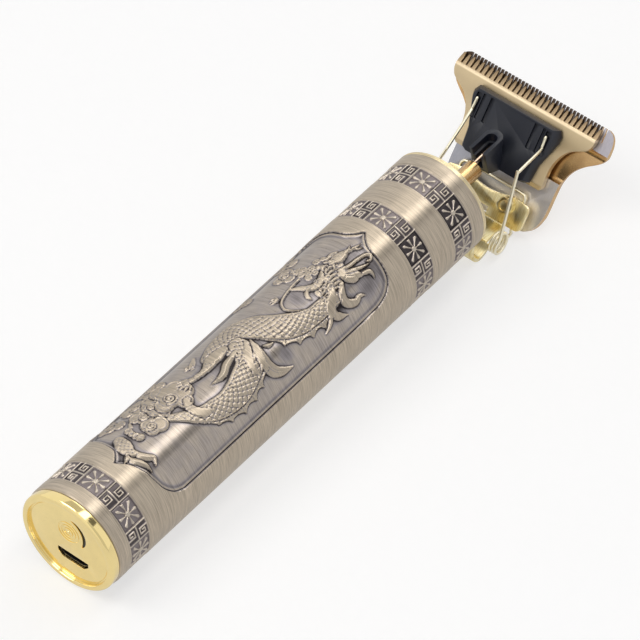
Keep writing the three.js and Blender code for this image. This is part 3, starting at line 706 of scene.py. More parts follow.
def limb(R, points, half, high):
    """A short scaled strand: a leg, or the root of the tail."""
    line = smooth(points, 20)
    win, run, d, total = R.along(line, max(half) + STRAND_MARGIN)
    w = spread(half, run / total)
    s = np.abs(d) / w
    skin_height = 0.18 * scales(run, d, 1.3, 1.2) * ease((1 - s) * w / 0.3)
    R.lay(win, s < 1, high * np.sqrt(np.clip(1 - s**2.3, 0, 1)) + skin_height, np.abs(d) - w, 0.4, 0.1)


# %% [markdown]
# Claws are short hooked strands that spread from a palm. A cloud in this old style is a flat form with
# a scalloped edge, so it is a union of discs, and spiral curls are laid on it as thin strands.

# %% Claws and clouds
def claw(R, u, v, heading, size=1.0, toes=(-60, -22, 16, 54)):
    """A foot: a palm and hooked toes, turned by degrees from the heading."""
    for turn in toes:
        g, h = math.radians(heading + turn), math.radians(heading + turn * 0.4 + 25)
        mid = (u + 1.1 * size * math.cos(g), v + 1.1 * size * math.sin(g))
        tip = (mid[0] + 1.1 * size * math.cos(h), mid[1] + 1.1 * size * math.sin(h))
        R.strand([(u, v), mid, tip], [0.45 * size, 0.34 * size, 0.04], [0.36, 0.4, 0.15])
    R.dome(u, v, 0.75 * size, 0.35)


def spiral(u, v, r, turns, start, hand=1):
    k = np.linspace(0, 1, int(12 * turns) + 1)
    angle = math.radians(start) + hand * 2 * np.pi * turns * k
    radius = r * (1 - 0.85 * k)
    return [(u + q * math.cos(g), v + q * math.sin(g)) for q, g in zip(radius, angle)]


def cloud(R, discs, high, curls=()):
    """A flat form with a scalloped edge made of overlapping discs, and spiral curls drawn on it."""
    discs = np.array(discs, float)
    low, top_corner = discs[:, :2].min(0), discs[:, :2].max(0)
    win = R.window(np.array([low, top_corner]), discs[:, 2].max() + STRAND_MARGIN)
    U, V = R.U[win], R.V[win]
    d = np.min([np.hypot(U - u, V - v) - r for u, v, r in discs], axis=0)
    top = high * ease(-d / 0.25) + 0.16 * stripe(d + 0.26, 0.17) - 0.07 * stripe(d + 0.7, 0.25)
    R.lay(win, d < 0, top, d, 0.5, 0.1)
    for u, v, r, turns, start, hand in curls:
        curl = spiral(u, v, r, turns, start, hand)
        R.strand(curl, [0.28, 0.26, 0.24, 0.4], [0.2], lift=1.0, groove=0.12)


scale_net = scales(*np.meshgrid(np.linspace(0, 5, 40), np.linspace(-2, 2, 40)), SCALE_LONG, SCALE_WIDE)
print(f"scales run from {scale_net.min():.2f} to {scale_net.max():.2f} of their height")

# %% [markdown]
# The dragon itself is a list of these forms, from the far clouds to the near head. Its body winds in
# two bends along the barrel, with the head towards the blades and the tail over the rear edge of its
# panel. The numbers are the places and widths of each form in millimetres.

# %% Clouds behind the dragon
# each cloud: its discs as (u, v, radius), its height, and its curls as (u, v, radius, turns, start, hand)
FAR_CLOUDS = [
    ([(-10.4, 88.5, 1.9), (-12.6, 86.6, 2.0), (-14.2, 88.4, 1.3)], 0.2, [(-12.0, 87.2, 1.3, 1.5, 40, 1)]),
    ([(-8.2, 84.4, 2.0), (-6.0, 83.0, 1.8), (-7.8, 81.6, 1.6), (-5.2, 85.6, 1.3)], 0.2,
     [(-7.4, 83.4, 1.5, 1.6, 100, 1)]),
    ([(-13.4, 72.0, 1.8), (-11.4, 73.4, 1.7), (-14.2, 74.2, 1.2)], 0.2, [(-12.6, 72.8, 1.2, 1.5, 200, -1)]),
    ([(-9.4, 40.4, 2.3), (-11.8, 39.0, 2.4), (-13.6, 41.4, 1.7), (-8.6, 37.8, 2.2)], 0.24,
     [(-11.2, 39.8, 1.5, 1.6, 200, 1)]),
    ([(-9.6, 33.4, 2.3), (-7.4, 32.2, 2.0), (-11.8, 32.0, 2.0), (-9.4, 31.0, 1.9)], 0.22,
     [(-9.2, 32.6, 1.4, 1.5, 60, -1)]),
    ([(-12.2, 26.2, 2.0), (-10.0, 25.2, 2.0), (-8.0, 26.4, 1.6), (-11.4, 24.0, 1.6)], 0.22,
     [(-10.8, 25.4, 1.2, 1.5, 300, 1)]),
    ([(0.6, 30.9, 2.2), (0.3, 28.8, 1.8), (-1.2, 29.0, 1.9), (-3.6, 30.6, 2.2), (-5.4, 29.4, 1.7)], 0.3,
     [(-0.5, 29.2, 1.25, 1.5, 250, 1), (-4.0, 30.6, 1.2, 1.4, 20, -1)]),
    ([(-3.0, 33.4, 2.0), (-5.2, 34.0, 2.2), (-7.0, 35.4, 2.0), (-1.0, 34.2, 1.6)], 0.26,
     [(-4.6, 34.0, 1.1, 1.4, 80, 1)]),
    ([(-4.5, 41.3, 2.3), (-1.4, 41.6, 2.3), (0.5, 39.6, 2.1), (-2.7, 38.0, 3.1), (-2.2, 35.8, 2.4),
      (-6.6, 38.8, 2.7)], 0.34, [(-2.7, 38.0, 1.8, 1.9, 300, 1), (0.7, 39.8, 0.9, 1.3, 120, -1)]),
    ([(-2.6, 25.0, 0.9), (-1.3, 25.0, 1.0), (-0.3, 25.3, 1.15), (-3.9, 25.3, 1.0)], 0.3,
     [(-0.3, 25.3, 0.85, 1.4, 230, 1)]),
]


def far_clouds(R):
    for discs, high, curls in FAR_CLOUDS:
        cloud(R, discs, high, curls)
    R.strand([(-4.4, 26.6), (-5.6, 27.6), (-5.0, 28.8)], [0.5, 0.35, 0.05], [0.24])


print("clouds:", len(FAR_CLOUDS))

# %% [markdown]
# The body is laid in two lengths, so that the upper one can lie over the lower: first the lower coil,
# then the neck with the bend that crosses it. A smooth tongue of cloud runs over the coil's end.

# %% The two bends of the body
LOWER_COIL = [(-1.0, 58.5), (2.0, 58.8), (4.5, 57.5), (6.2, 54.0), (7.4, 50.5), (7.7, 46.5), (6.7, 42.0),
              (5.0, 38.5), (3.0, 36.0), (1.3, 34.0)]
NECK_AND_BEND = [(6.5, 85.0), (6.5, 81.0), (6.4, 78.0), (5.5, 74.4), (3.7, 71.0), (1.25, 68.25),
                 (-1.75, 66.0), (-4.6, 63.4), (-5.6, 60.0), (-5.0, 56.6), (-3.6, 53.0)]
FIN_SIZE = 1.7


def body_bends(R):
    serpent(R, LOWER_COIL, half=[3.0, 3.3, 3.4, 3.4, 3.3, 2.9, 2.7, 2.0, 1.5, 1.1],
            high=[0.42, 0.44, 0.46, 0.46, 0.46, 0.44, 0.42, 0.36, 0.3, 0.2],
            deep=[0.28, 0.31, 0.31, 0.3, 0.27, 0.22],
            fin_size=FIN_SIZE, fin_shape=[0, 0.2, 1, 1, 1, 0.8, 0.2, 0, 0])
    serpent(R, NECK_AND_BEND, half=[1.9, 2.2, 2.3, 3.0, 3.5, 3.6, 3.7, 3.3, 2.7, 2.6, 2.3],
            high=[0.42, 0.46, 0.46, 0.48, 0.48, 0.48, 0.48, 0.46, 0.44, 0.42, 0.4],
            deep=[0.26, 0.28, 0.28, 0.26],
            fin_size=FIN_SIZE, fin_shape=[0, 0.9, 1, 1, 0.9, 0.2, 0, 0, 0, 0, 0])
    R.strand([(0.8, 39.6), (2.6, 38.9), (4.6, 39.3), (6.0, 40.6), (6.6, 42.6)], [0.8, 1.1, 1.3, 1.1, 0.1],
             [0.56, 0.62, 0.66, 0.62, 0.3])


print("the body runs from y", NECK_AND_BEND[0][1], "to", LOWER_COIL[-1][1])

# %% [markdown]
# The hind leg steps over the clouds, with a leaf at its elbow and hooked claws. Flame-shaped fins stand
# out where the two bends meet, and the tail ends in a tuft that reaches over the edge of the panel.

# %% Legs, fins and tail
def legs(R):
    # the leaf, the leg, its elbow and foot
    R.strand([(0.2, 57.4), (0.9, 53.6), (2.3, 50.4), (2.0, 46.6)], [0.5, 0.95, 0.9, 0.04],
             [0.6, 0.66, 0.6, 0.2], lines=2)
    limb(R, [(-2.5, 56.4), (-2.5, 54.2), (-2.5, 52.0), (-1.8, 49.4), (-1.8, 46.4)],
         [1.2, 1.7, 1.6, 0.9, 0.65], 0.58)
    R.strand(spiral(-2.5, 53.4, 1.5, 1.0, 90, 1)[:10], [0.2], [0.16], lift=1.0)
    R.strand([(-1.8, 46.8), (-2.4, 45.0), (-3.2, 43.8)], [0.7, 0.8, 0.7], [0.5])
    claw(R, -2.4, 43.6, 225, 1.3, (-75, -38, 0, 40, 80, 120))
    # a wisp of cloud with the other hind foot
    R.strand([(-7.6, 51.4), (-6.4, 49.8), (-5.2, 48.4)], [0.5, 0.8, 0.6], [0.3])
    claw(R, -5.6, 48.6, 200, 0.9)


def flame_fins(R):
    for line, half, high in [
        ([(-0.2, 61.0), (2.0, 59.6), (4.0, 57.8), (6.5, 56.9), (8.7, 57.5)], [0.3, 0.9, 1.0, 0.8, 0.04], 0.5),
        ([(0.4, 62.3), (4.0, 61.2), (7.0, 60.4), (9.6, 60.9), (11.2, 63.0), (12.0, 66.2)],
         [0.3, 1.1, 1.6, 1.6, 1.0, 0.04], 0.6),
    ]:
        R.strand(line, half, [0.7 * high, high, high, high, 0.5 * high])
        R.strand(line, [0.05, 0.14, 0.18, 0.14, 0.04], [0.1], lift=1.0, groove=0.08)
    R.strand([(4.6, 65.4), (4.4, 64.2), (3.6, 63.2)], [0.2, 0.6, 0.2], [0.5])


def tail_end(R):
    limb(R, [(-3.6, 21.9), (-1.6, 21.1), (0.2, 20.7), (1.8, 20.6)], [1.4, 2.0, 1.7, 0.7], 0.55)
    R.strand([(1.3, 21.3), (3.0, 21.5), (4.5, 22.4), (5.6, 23.4), (7.4, 22.3)], [0.5, 0.9, 0.9, 0.6, 0.04],
             [0.6], lines=2)
    R.strand([(1.4, 19.0), (2.8, 19.3), (4.2, 20.1), (6.0, 20.7), (7.8, 20.6)], [0.5, 0.9, 0.8, 0.5, 0.04],
             [0.6], lines=2)
    R.strand([(0.8, 19.6), (1.6, 18.6), (1.9, 17.8), (2.1, 17.0)], [0.5, 0.7, 0.45, 0.04], [0.5])


# %% [markdown]
# The head comes last, because it lies over everything. Long locks of the mane curl to its right. The
# skull carries fine strands of hair, and the antlers, horns, brow and beard are strands laid on it.

# %% Mane and hair
MANE = [
    ([(5.2, 89.3), (7.2, 87.3), (9.3, 86.8), (10.8, 88.8), (10.4, 90.8), (11.3, 92.4)],
     [0.5, 0.95, 1.15, 1.05, 0.7, 0.04]),
    ([(5.0, 86.3), (6.5, 84.3), (8.2, 82.4), (10.4, 82.9), (11.9, 85.7)], [0.6, 1.15, 1.25, 1.0, 0.04]),
    ([(7.0, 95.4), (7.6, 96.8), (8.6, 97.0), (9.7, 96.8)], [0.5, 0.6, 0.4, 0.04]),
    ([(7.8, 81.6), (9.6, 80.9), (10.7, 79.8), (11.8, 77.5)], [0.5, 0.6, 0.5, 0.04]),
]
# the root of each strand of hair and its length
LONG_HAIR = [(0.2, 91.6, 5.6), (1.3, 92.2, 7.4), (2.3, 91.8, 8.4), (3.2, 91.2, 8.8), (4.1, 90.6, 8.6),
             (4.9, 89.8, 8.0), (5.7, 88.8, 6.6)]
SHORT_HAIR = [(1.4, 86.6), (3.4, 86.2), (2.6, 88.9), (4.5, 87.6)]


def mane(R):
    for line, half in MANE:
        R.strand(line, half, [0.56, 0.66, 0.66, 0.6, 0.3])


def skull_and_hair(R):
    R.strand([(3.4, 84.0), (3.0, 87.5), (2.2, 90.8), (0.8, 93.2)], [1.6, 2.5, 2.4, 1.2],
             [0.34, 0.42, 0.42, 0.34])
    for u, v, long in LONG_HAIR:
        side = 0.55 * (1 - u / 6)
        lock = [(u, v), (u - 0.5 - side, v - 0.26 * long), (u - 0.1 - side, v - 0.5 * long),
                (u + 0.9 - side, v - 0.72 * long), (u + 1.1, v - long)]
        R.strand(lock, [0.16, 0.42, 0.46, 0.42, 0.05], [0.14, 0.26, 0.3, 0.26, 0.1], lift=0.85)
    for u, v in SHORT_HAIR:
        lock = [(u, v), (u - 0.9, v - 0.9), (u - 0.4, v - 2.1), (u + 0.7, v - 2.4)]
        R.strand(lock, [0.1, 0.4, 0.42, 0.05], [0.24], lift=0.85)


# %% Antlers, face and beard
# the middle of each curl of the beard, its radius, the angle where it starts and its hand
BEARD_CURLS = [
    (-3.3, 90.2, 0.8, 60, 1), (-2.9, 88.2, 0.8, 0, -1), (-1.3, 87.4, 0.8, 90, 1), (-4.4, 87.0, 0.8, 30, -1),
    (-2.4, 86.2, 0.75, 120, 1), (-3.7, 84.9, 0.8, 200, -1), (-5.4, 85.2, 0.8, 20, 1),
    (-1.4, 85.2, 0.7, 160, 1), (-2.6, 91.8, 0.6, 10, 1),
]


def antlers(R):
    R.strand([(0.5, 96.4), (0.9, 98.4), (1.5, 101.2)], [0.55, 0.4, 0.04], [0.5, 0.46, 0.2])
    R.strand([(0.9, 98.2), (1.8, 99.0), (2.4, 100.4)], [0.3, 0.28, 0.04], [0.4])
    R.strand([(0.6, 97.2), (0.0, 98.0), (-0.2, 99.0)], [0.3, 0.22, 0.04], [0.38])
    # the leaves of the ears, then the horns
    R.strand([(-1.7, 92.2), (-1.8, 93.8), (-1.2, 95.6)], [0.4, 0.7, 0.05], [0.46])
    R.strand([(-0.2, 92.0), (0.1, 94.0), (0.3, 95.8), (0.3, 97.6)], [0.9, 1.7, 1.1, 0.05],
             [0.5, 0.64, 0.6, 0.4])
    R.strand([(2.8, 91.2), (3.4, 93.6), (3.6, 96.4), (4.1, 99.0), (5.0, 99.8), (5.8, 99.1), (5.5, 98.2)],
             [0.5, 0.55, 0.5, 0.5, 0.45, 0.4, 0.3], [0.62])
    R.strand([(3.4, 90.8), (4.5, 93.2), (5.6, 95.8), (6.3, 98.6)], [0.5, 0.55, 0.45, 0.05], [0.6])


def face_and_beard(R):
    # cheek flap, then brow, eye and snout
    R.strand([(3.6, 90.6), (5.0, 91.4), (5.9, 92.6), (6.3, 93.8), (7.4, 95.0)], [0.7, 1.3, 1.6, 1.1, 0.04],
             [0.6, 0.7, 0.7, 0.5, 0.2])
    R.strand([(4.4, 91.2), (5.4, 92.4), (5.9, 93.6)], [0.1, 0.24, 0.05], [0.12], lift=1.0)
    R.strand([(-1.6, 91.0), (-0.4, 92.0), (1.0, 91.4), (1.9, 90.2)], [0.3, 0.45, 0.4, 0.1], [0.3], lift=0.9)
    R.dome(0.1, 90.5, 0.55, 0.26, lift=0.9)
    R.strand([(-1.8, 88.9), (-0.6, 89.4), (0.8, 88.6)], [0.6, 0.8, 0.3], [0.5, 0.56, 0.3])
    for u, v, r, start, hand in BEARD_CURLS:
        R.dome(u, v, 1.4 * r, 0.12, groove=0.02)
        R.strand(spiral(u, v, 1.25 * r, 1.4, start, hand), [0.26], [0.17], lift=0.9, groove=0.05)


def breast(R):
    # the shoulder, a smooth curve over the hollow below the jaw
    R.strand([(0.0, 88.0), (1.2, 86.4), (1.6, 84.4), (0.7, 82.6), (-0.8, 81.4), (-2.2, 80.0)],
             [0.5, 0.85, 1.0, 0.95, 0.7, 0.35], [0.5, 0.56, 0.6, 0.56, 0.46, 0.36])
    R.strand([(0.9, 82.6), (1.2, 81.4), (2.2, 80.6), (3.6, 80.8)], [0.3, 0.55, 0.5, 0.05], [0.4])
    # the long whisker, curling from the jaw down to the breast, and the foot at its end
    R.strand([(-3.0, 83.5), (-2.6, 79.5), (-1.5, 75.6), (0.5, 74.3), (2.5, 75.5), (4.0, 77.5)],
             [0.35, 0.34, 0.34, 0.32, 0.28, 0.05], [0.5])
    claw(R, -2.6, 75.4, 205, 0.9)


def dragon(R):
    """All the forms of the dragon, each over those before it."""
    for form in (far_clouds, body_bends, legs, flame_fins, tail_end, mane, skull_and_hair, antlers,
                 face_and_beard, breast):
        form(R)


print("strands of mane and hair:", len(MANE) + len(LONG_HAIR) + len(SHORT_HAIR), "curls:", len(BEARD_CURLS))

# %% [markdown]
# ## The barrel
#
# The dragon lies in a sunk panel with a point at each end, inside a thin bead. The panel's outline is
# drawn for its right half and mirrored. At each point of the sheet the distance to that outline gives
# the sinking edge, the bead and the ground.

# %% The sunk panel
PANEL_RIGHT = [
    (0.2, 15.6), (1.0, 16.2), (2.0, 17.0), (3.5, 18.0), (5.5, 18.7), (7.0, 19.2), (9.0, 19.5), (12.0, 20.3),
    (14.5, 22.2), (15.7, 24.4), (16.1, 27.0), (16.1, 40.0), (16.1, 60.0), (16.1, 80.0), (16.0, 91.0),
    (15.7, 94.5), (14.5, 97.4), (12.0, 99.6), (8.0, 100.5), (5.0, 100.7), (3.0, 101.2), (1.4, 102.4),
    (0.5, 103.5), (0.0, 104.0),
]
PANEL_LEFT_END = [(-0.3, 16.6), (-1.8, 18.2), (-3.3, 18.8), (-8.0, 19.5), (-12.0, 20.3)]
LEFT_END_STARTS = 22
TAIL_ROOM = [(-2.6, 22.2, 2.9), (0.6, 20.6, 2.2)]
# (distance inside the outline, height): a groove, a bead and the ground
EDGE_DEPTHS = [(0, 0), (0.15, -0.5), (0.32, -0.47), (0.5, -0.42), (0.7, -0.52), (0.9, -0.66), (1.15, -0.74)]


def panel_distance(R):
    """Distance from the panel's outline, positive inside it."""
    right_side = smooth(PANEL_RIGHT, 6)
    upper_left = [(-u, v) for u, v in PANEL_RIGHT[::-1] if v > LEFT_END_STARTS]
    left_side = smooth(upper_left + PANEL_LEFT_END[::-1] + [PANEL_RIGHT[0]], 6)
    line = np.vstack([right_side, left_side[1:]])
    _, _, d, _ = R.along(line, 40)
    crossings = np.zeros(R.U.shape, int)
    for (u0, v0), (u1, v1) in zip(line, line[1:]):
        if v0 != v1:
            spans = (R.V >= min(v0, v1)) & (R.V < max(v0, v1))
            crossings += spans & (R.U < u0 + (R.V - v0) * (u1 - u0) / (v1 - v0))
    inside = np.where(crossings % 2 == 1, np.abs(d), -np.abs(d))
    for u, v, r in TAIL_ROOM:
        inside = np.maximum(inside, r - np.hypot(R.U - u, R.V - v))
    return inside


print("points of the panel's outline:", len(PANEL_RIGHT), "right,", len(PANEL_LEFT_END), "at the left end")

# %% [markdown]
# The barrel is one closed tube made as a grid of rings, fine where the dragon is and coarse elsewhere.
# A window for the switch is left open on the far side. Its rows are listed as (y, depth below the
# barrel's radius), so each groove that holds an ornament band is a few rows set close together.

# %% The barrel's grid
PANEL_HALF = 16.5
PANEL_ENDS = (15.2, 104.2)
STEP = 0.185
BORE_R = 12.15
BORE_CHAMFER = 0.2
BANDS = [(6.2, 12.7), (106.6, 113.2), (121.0, 127.7)]
BAND_SEAT = 0.62
WINDOW_HALF, WINDOW_ENDS = 4.2, (69.0, 87.0)

# the left side of the panel is on the far side, so its columns are wider
fine_u = np.concatenate([
    np.linspace(-PANEL_HALF, -13, 8)[:-1], np.linspace(-13, -9, 15)[:-1],
    np.linspace(-9, PANEL_HALF, round((PANEL_HALF + 9) / STEP) + 1),
])
half_turn = math.pi * BARREL_R
window_edges = [half_turn - WINDOW_HALF, half_turn + WINDOW_HALF]
coarse_u = np.concatenate([
    np.linspace(PANEL_HALF, window_edges[0], 11)[1:],
    np.linspace(*window_edges, 6)[1:],
    np.linspace(window_edges[1], 2 * half_turn - PANEL_HALF, 11)[1:-1],
])
ring_u = np.concatenate([fine_u, coarse_u])
fine_v = np.linspace(*PANEL_ENDS, round((PANEL_ENDS[1] - PANEL_ENDS[0]) / STEP) + 1)
for edge in WINDOW_ENDS:
    fine_v[np.argmin(np.abs(fine_v - edge))] = edge


def band_seat(start, end):
    return [
        (start - 0.5, 0), (start - 0.08, 0.0), (start, 0.07), (start + 0.01, BAND_SEAT),
        (end - 0.01, BAND_SEAT), (end, 0.07), (end + 0.08, 0.0), (end + 0.5, 0),
    ]


rear_rows = [(BARREL_START, 0.35), (BARREL_START + 0.12, 0.12), (BARREL_START + 0.35, 0.02),
             (3.2, 0), (4.6, 0)]
front_rows = [(131.6, 0), (131.75, 0.14), (131.9, 0.14), (132.05, 0), (132.5, 0.03), (132.7, 0.2),
              (BARREL_END, 0.5)]
rows_before = rear_rows + band_seat(*BANDS[0])
rows_after = band_seat(*BANDS[1]) + [(117.1, 0)] + band_seat(*BANDS[2]) + [(129.8, 0)] + front_rows
print("columns round the barrel:", len(ring_u), "rows along it:", len(rows_before + rows_after) + len(fine_v))

# %% [markdown]
# Now the dragon is drawn on the sheet, and the panel's ground is sunk under it. Nothing may stand prouder
# than the barrel's radius inside the panel, and where the tail crosses the panel's edge it stands only
# a hair above the barrel.

# %% Drawing the sheet
PROUD = 0.02

sheet = Relief(fine_u, fine_v)
dragon(sheet)
inside = panel_distance(sheet)
ground = np.interp(inside, *zip(*EDGE_DEPTHS))
figure = np.maximum(sheet.H, 0)
over_edge = ease((inside + 2.2) / 1.2)
relief_depth = np.where(
    inside > 0,
    np.minimum(ground + figure, np.maximum(-PROUD, ground)),
    -PROUD * over_edge * (figure > PROUD),
)
print("relief sheet", sheet.H.shape, "highest form", round(float(sheet.H.max()), 2), "mm")

# %% [markdown]
# Antique plating is dark in its hollows and rubbed bright on its heights. A value on each point of the
# mesh, called patina, says how dark it is, and the material turns it into colour and roughness. It
# grows where the surface lies below the mean of its surroundings, near and wide; the wide part is also
# painted shade on the ground beside the tall forms. A few places of the ground beside tall forms are
# darker still.

# %% Patina
GROUND_DARK, FIGURE_DARK = 0.29, 0.12
NEAR_STEPS, WIDE_STEPS = 2, 9
# the wide term is patina and also painted shade on the ground beside tall forms
HOLLOW_AT_EDGE, HOLLOW_IN_FIGURE, WIDE_PATINA_AND_SHADE = 2.0, 4.2, 1.7
GROOVE_AT, BEAD_AT, LINE_HALF = 0.12, 0.5, 0.14
GROOVE_DARK, BEAD_BRIGHT, BEAD_BRIGHT_FROM = 0.35, 0.35, 92
# spots of the ground beside tall forms that are made darker: (u, v, radius)
DARKER_GROUND_SPOTS = [
    (8.6, 96.6, 2.6), (10.6, 93.6, 2.2), (0.6, 78.8, 1.8), (9.0, 85.0, 1.6), (8.6, 66.2, 1.6),
]
SPOT_DARKNESS = 0.28


def blurred(values, reach):
    """The mean of a sheet over a square of 2 * reach + 1 steps."""
    for axis in (0, 1):
        pad = [(0, 0), (0, 0)]
        pad[axis] = (reach + 1, reach)
        total = np.cumsum(np.pad(values, pad, mode="edge"), axis)
        low = np.take(total, range(0, values.shape[axis]), axis)
        high = np.take(total, range(2 * reach + 1, 2 * reach + 1 + values.shape[axis]), axis)
        values = (high - low) / (2 * reach + 1)
    return values


near = blurred(relief_depth, NEAR_STEPS) - relief_depth
wide = blurred(relief_depth, WIDE_STEPS) - relief_depth
in_panel = ease(inside / 0.2)
in_figure = ease(figure / 0.2)
bare_ground = in_panel * (1 - in_figure)
at_edge = (inside > 0.6) & (inside < 1.3) & (figure < 0.02)
hollow = np.where(at_edge, HOLLOW_AT_EDGE, HOLLOW_IN_FIGURE) * np.maximum(near, 0)
patina = GROUND_DARK * bare_ground + FIGURE_DARK * in_panel * in_figure + hollow
# patina and painted shade: the wide term darkens the ground beside tall forms
patina = patina + WIDE_PATINA_AND_SHADE * np.maximum(wide - 0.08, 0) * in_panel
patina += GROOVE_DARK * stripe(inside - GROOVE_AT, LINE_HALF)
patina -= BEAD_BRIGHT * (sheet.V > BEAD_BRIGHT_FROM) * stripe(inside - BEAD_AT, LINE_HALF)
# a few spots of the ground beside tall forms are made darker
for u, v, r in DARKER_GROUND_SPOTS:
    patina += SPOT_DARKNESS * bare_ground * stripe(np.hypot(sheet.U - u, sheet.V - v), r)
patina = np.clip(patina - 3.0 * np.maximum(-near, 0), 0, 1)
print(f"patina {patina.min():.2f} to {patina.max():.2f}, mean {patina.mean():.2f}")

# %% [markdown]
# With the sheet ready, the tube is put together ring by ring. Its faces are listed one by one, because the
# switch's window leaves out some of them and adds four walls between the outside and the bore.

# %% The tube
BORE_PATINA = 0.6


def mark_patina(piece, marks):
    """Stores how dark each point is, where the material can read it."""
    layer = piece.data.attributes.new("patina", "FLOAT", "POINT")
    layer.data.foreach_set("value", np.concatenate(marks).astype(np.float32))
    return piece


def barrel_rows():
    """(y, depth, patina) for each ring: along the outside, then back along the bore."""
    pad = np.zeros(len(coarse_u))
    outside = [(y, depth, 0.0) for y, depth in rows_before]
    outside += [
        (v, -np.concatenate([depths, pad]), np.concatenate([dark, pad]))
        for v, depths, dark in zip(fine_v, relief_depth, patina)
    ]
    outside += [(y, depth, 0.0) for y, depth in rows_after]
    wall = BARREL_R - BORE_R
    bore = [(BARREL_END, wall - BORE_CHAMFER, BORE_PATINA)]
    bore += [(y, wall, BORE_PATINA) for y in (WINDOW_ENDS[1], WINDOW_ENDS[0], BARREL_START)]
    return outside, bore


def tube_faces(ring_y, outer):
    """Faces of the tube, with the switch's window left open; outer is the number of outside rings."""
    count = len(ring_u)
    number = np.arange(len(ring_y) * count).reshape(len(ring_y), count)
    out_rows = [k for k in range(outer) if WINDOW_ENDS[0] <= ring_y[k] <= WINDOW_ENDS[1]]
    rear, front = outer + 2, outer + 1
    in_window = (ring_u >= window_edges[0] - 1e-6) & (ring_u <= window_edges[1] + 1e-6)
    left, right_column = np.flatnonzero(in_window)[[0, -1]]
    faces = []
    for k in range(len(ring_y)):
        following = (k + 1) % len(ring_y)
        beside_window = (k in out_rows and following in out_rows) or (k == outer + 1)
        for j in range(count):
            if beside_window and left <= j < right_column:
                continue
            beside = (j + 1) % count
            faces.append((number[k, j], number[following, j], number[following, beside], number[k, beside]))
    # the walls of the window
    first, last = out_rows[0], out_rows[-1]
    for j in range(left, right_column):
        faces.append((number[first, j + 1], number[rear, j + 1], number[rear, j], number[first, j]))
        faces.append((number[last, j], number[front, j], number[front, j + 1], number[last, j + 1]))
    for j, step in ((left, 1), (right_column, -1)):
        wall = [number[k, j] for k in out_rows] + [number[front, j], number[rear, j]]
        faces.append(tuple(wall[::step]))
    return faces


def barrel():
    outside, bore = barrel_rows()
    rows = outside + bore
    rings = [round_ring(ring_u / BARREL_R, BARREL_R - depth, y) for y, depth, _ in rows]
    faces = tube_faces([y for y, _, _ in rows], len(outside))
    piece = new_mesh("antique_barrel", np.vstack(rings), faces)
    return mark_patina(piece, [np.broadcast_to(dark, len(ring_u)) for _, _, dark in rows])


# %% [markdown]
# The barrel is plated in antique brass and then brushed round and round. A brushed finish has two
# signs: fine lines that run one way, and highlights that stretch across them. The lines come from
# noise that is long round the barrel and very short along it, in the barrel's own round coordinates.
# The stretched highlight comes from the shader's anisotropy. The lip at the front is rubbed to brass.

# %% Antique metal
RUBBED = srgb(211, 197, 178)
DULL = srgb(171, 164, 165)
BLACKENED = srgb(60, 56, 58)
LIP_BRASS = srgb(255, 238, 196)
LIP_WIDTH = 1.25


def round_coordinates(tree, per_turn, per_mm):
    """Coordinates for noise: how far round the barrel, and how far along it, each with its own scale."""
    centre = Vector(BARREL_ORIGIN)
    moved = add_node(tree, "VectorMath", {0: surface_point(tree), 1: centre}, operation="SUBTRACT").outputs[0]
    parts = add_node(tree, "SeparateXYZ", {0: moved}).outputs
    angle = maths("ARCTAN2", parts["X"], parts["Z"])
    around = maths("MULTIPLY", maths("COSINE", angle), per_turn)
    around_too = maths("MULTIPLY", maths("SINE", angle), per_turn)
    along = maths("MULTIPLY", parts["Y"], per_mm / MM)
    return add_node(tree, "CombineXYZ", {0: around, 1: along, 2: around_too}).outputs[0]


def antique_finish(name, rubbed=RUBBED, dull=DULL, roughness=0.4, brushed=1.0):
    material, tree, shader = new_finish(
        name, rubbed, 1.0, roughness, Anisotropic=0.9, Anisotropic_Rotation=0.25)
    dark = add_node(tree, "Attribute", attribute_name="patina", attribute_type="GEOMETRY").outputs["Fac"]
    blotches = noise(round_coordinates(tree, 4.0, 0.35), 1.0, 4.0)
    streaks = noise(round_coordinates(tree, 1.4, 2.6), 1.0, 3.0, 0.6)
    hairlines = noise(round_coordinates(tree, 2.0, 6.5), 1.0, 3.0, 0.65)
    uneven = maths("MULTIPLY", maths("SUBTRACT", blotches, 0.5), 0.2)
    level = maths("ADD", dark, uneven, clamp=True)
    tone = ramp(level, [(0.0, rubbed), (0.15, rubbed), (0.42, dull), (0.95, BLACKENED)])
    along = add_node(tree, "SeparateXYZ", {0: surface_point(tree)}).outputs["Y"]
    lip = maths("GREATER_THAN", along, BARREL_ORIGIN[1] + (BARREL_END - LIP_WIDTH) * MM)
    tone = blend_colours(lip, tone, LIP_BRASS)
    worn = ramp(streaks, [(0.36, grey(0.76)), (0.5, grey(0.94)), (0.62, grey(1.0))])
    fine = ramp(hairlines, [(0.38, grey(0.66)), (0.6, grey(1.0))])
    for lines in (worn, fine):
        tone = blend_colours(0.8 * brushed, tone, lines, "MULTIPLY")
    feed(shader, tone)
    # the flat ground of the panel is smoother than the rubbed heights
    base = ramp(level, [
        (0.04, grey(roughness)), (0.12, grey(roughness + 0.12)), (0.25, grey(roughness - 0.1)),
        (0.9, grey(roughness + 0.1)),
    ])
    rough = maths("MULTIPLY", maths("SUBTRACT", streaks, 0.5), 0.2)
    feed(shader, maths("ADD", base, rough), "Roughness")
    coarse = bump(shader, streaks, 0.35 * brushed, 0.00005)
    bump(shader, hairlines, 0.3 * brushed, 0.00003, coarse)
    tangent = add_node(tree, "Tangent", direction_type="RADIAL", axis="Y").outputs[0]
    feed(shader, tangent, "Tangent")
    return material


dress(barrel(), "body", antique_finish("antique_metal"), ["barrel_shell"], crease=50)

# %% [markdown]
# ## The ornament bands
#
# Three bands run round the barrel, each with eight squares that hold a flower of eight petals, and
# between them a pair of square spirals, the old meander pattern. Both are common ornaments. They are
# drawn on a sheet of their own, and the same drawing repeats every eighth of a turn.

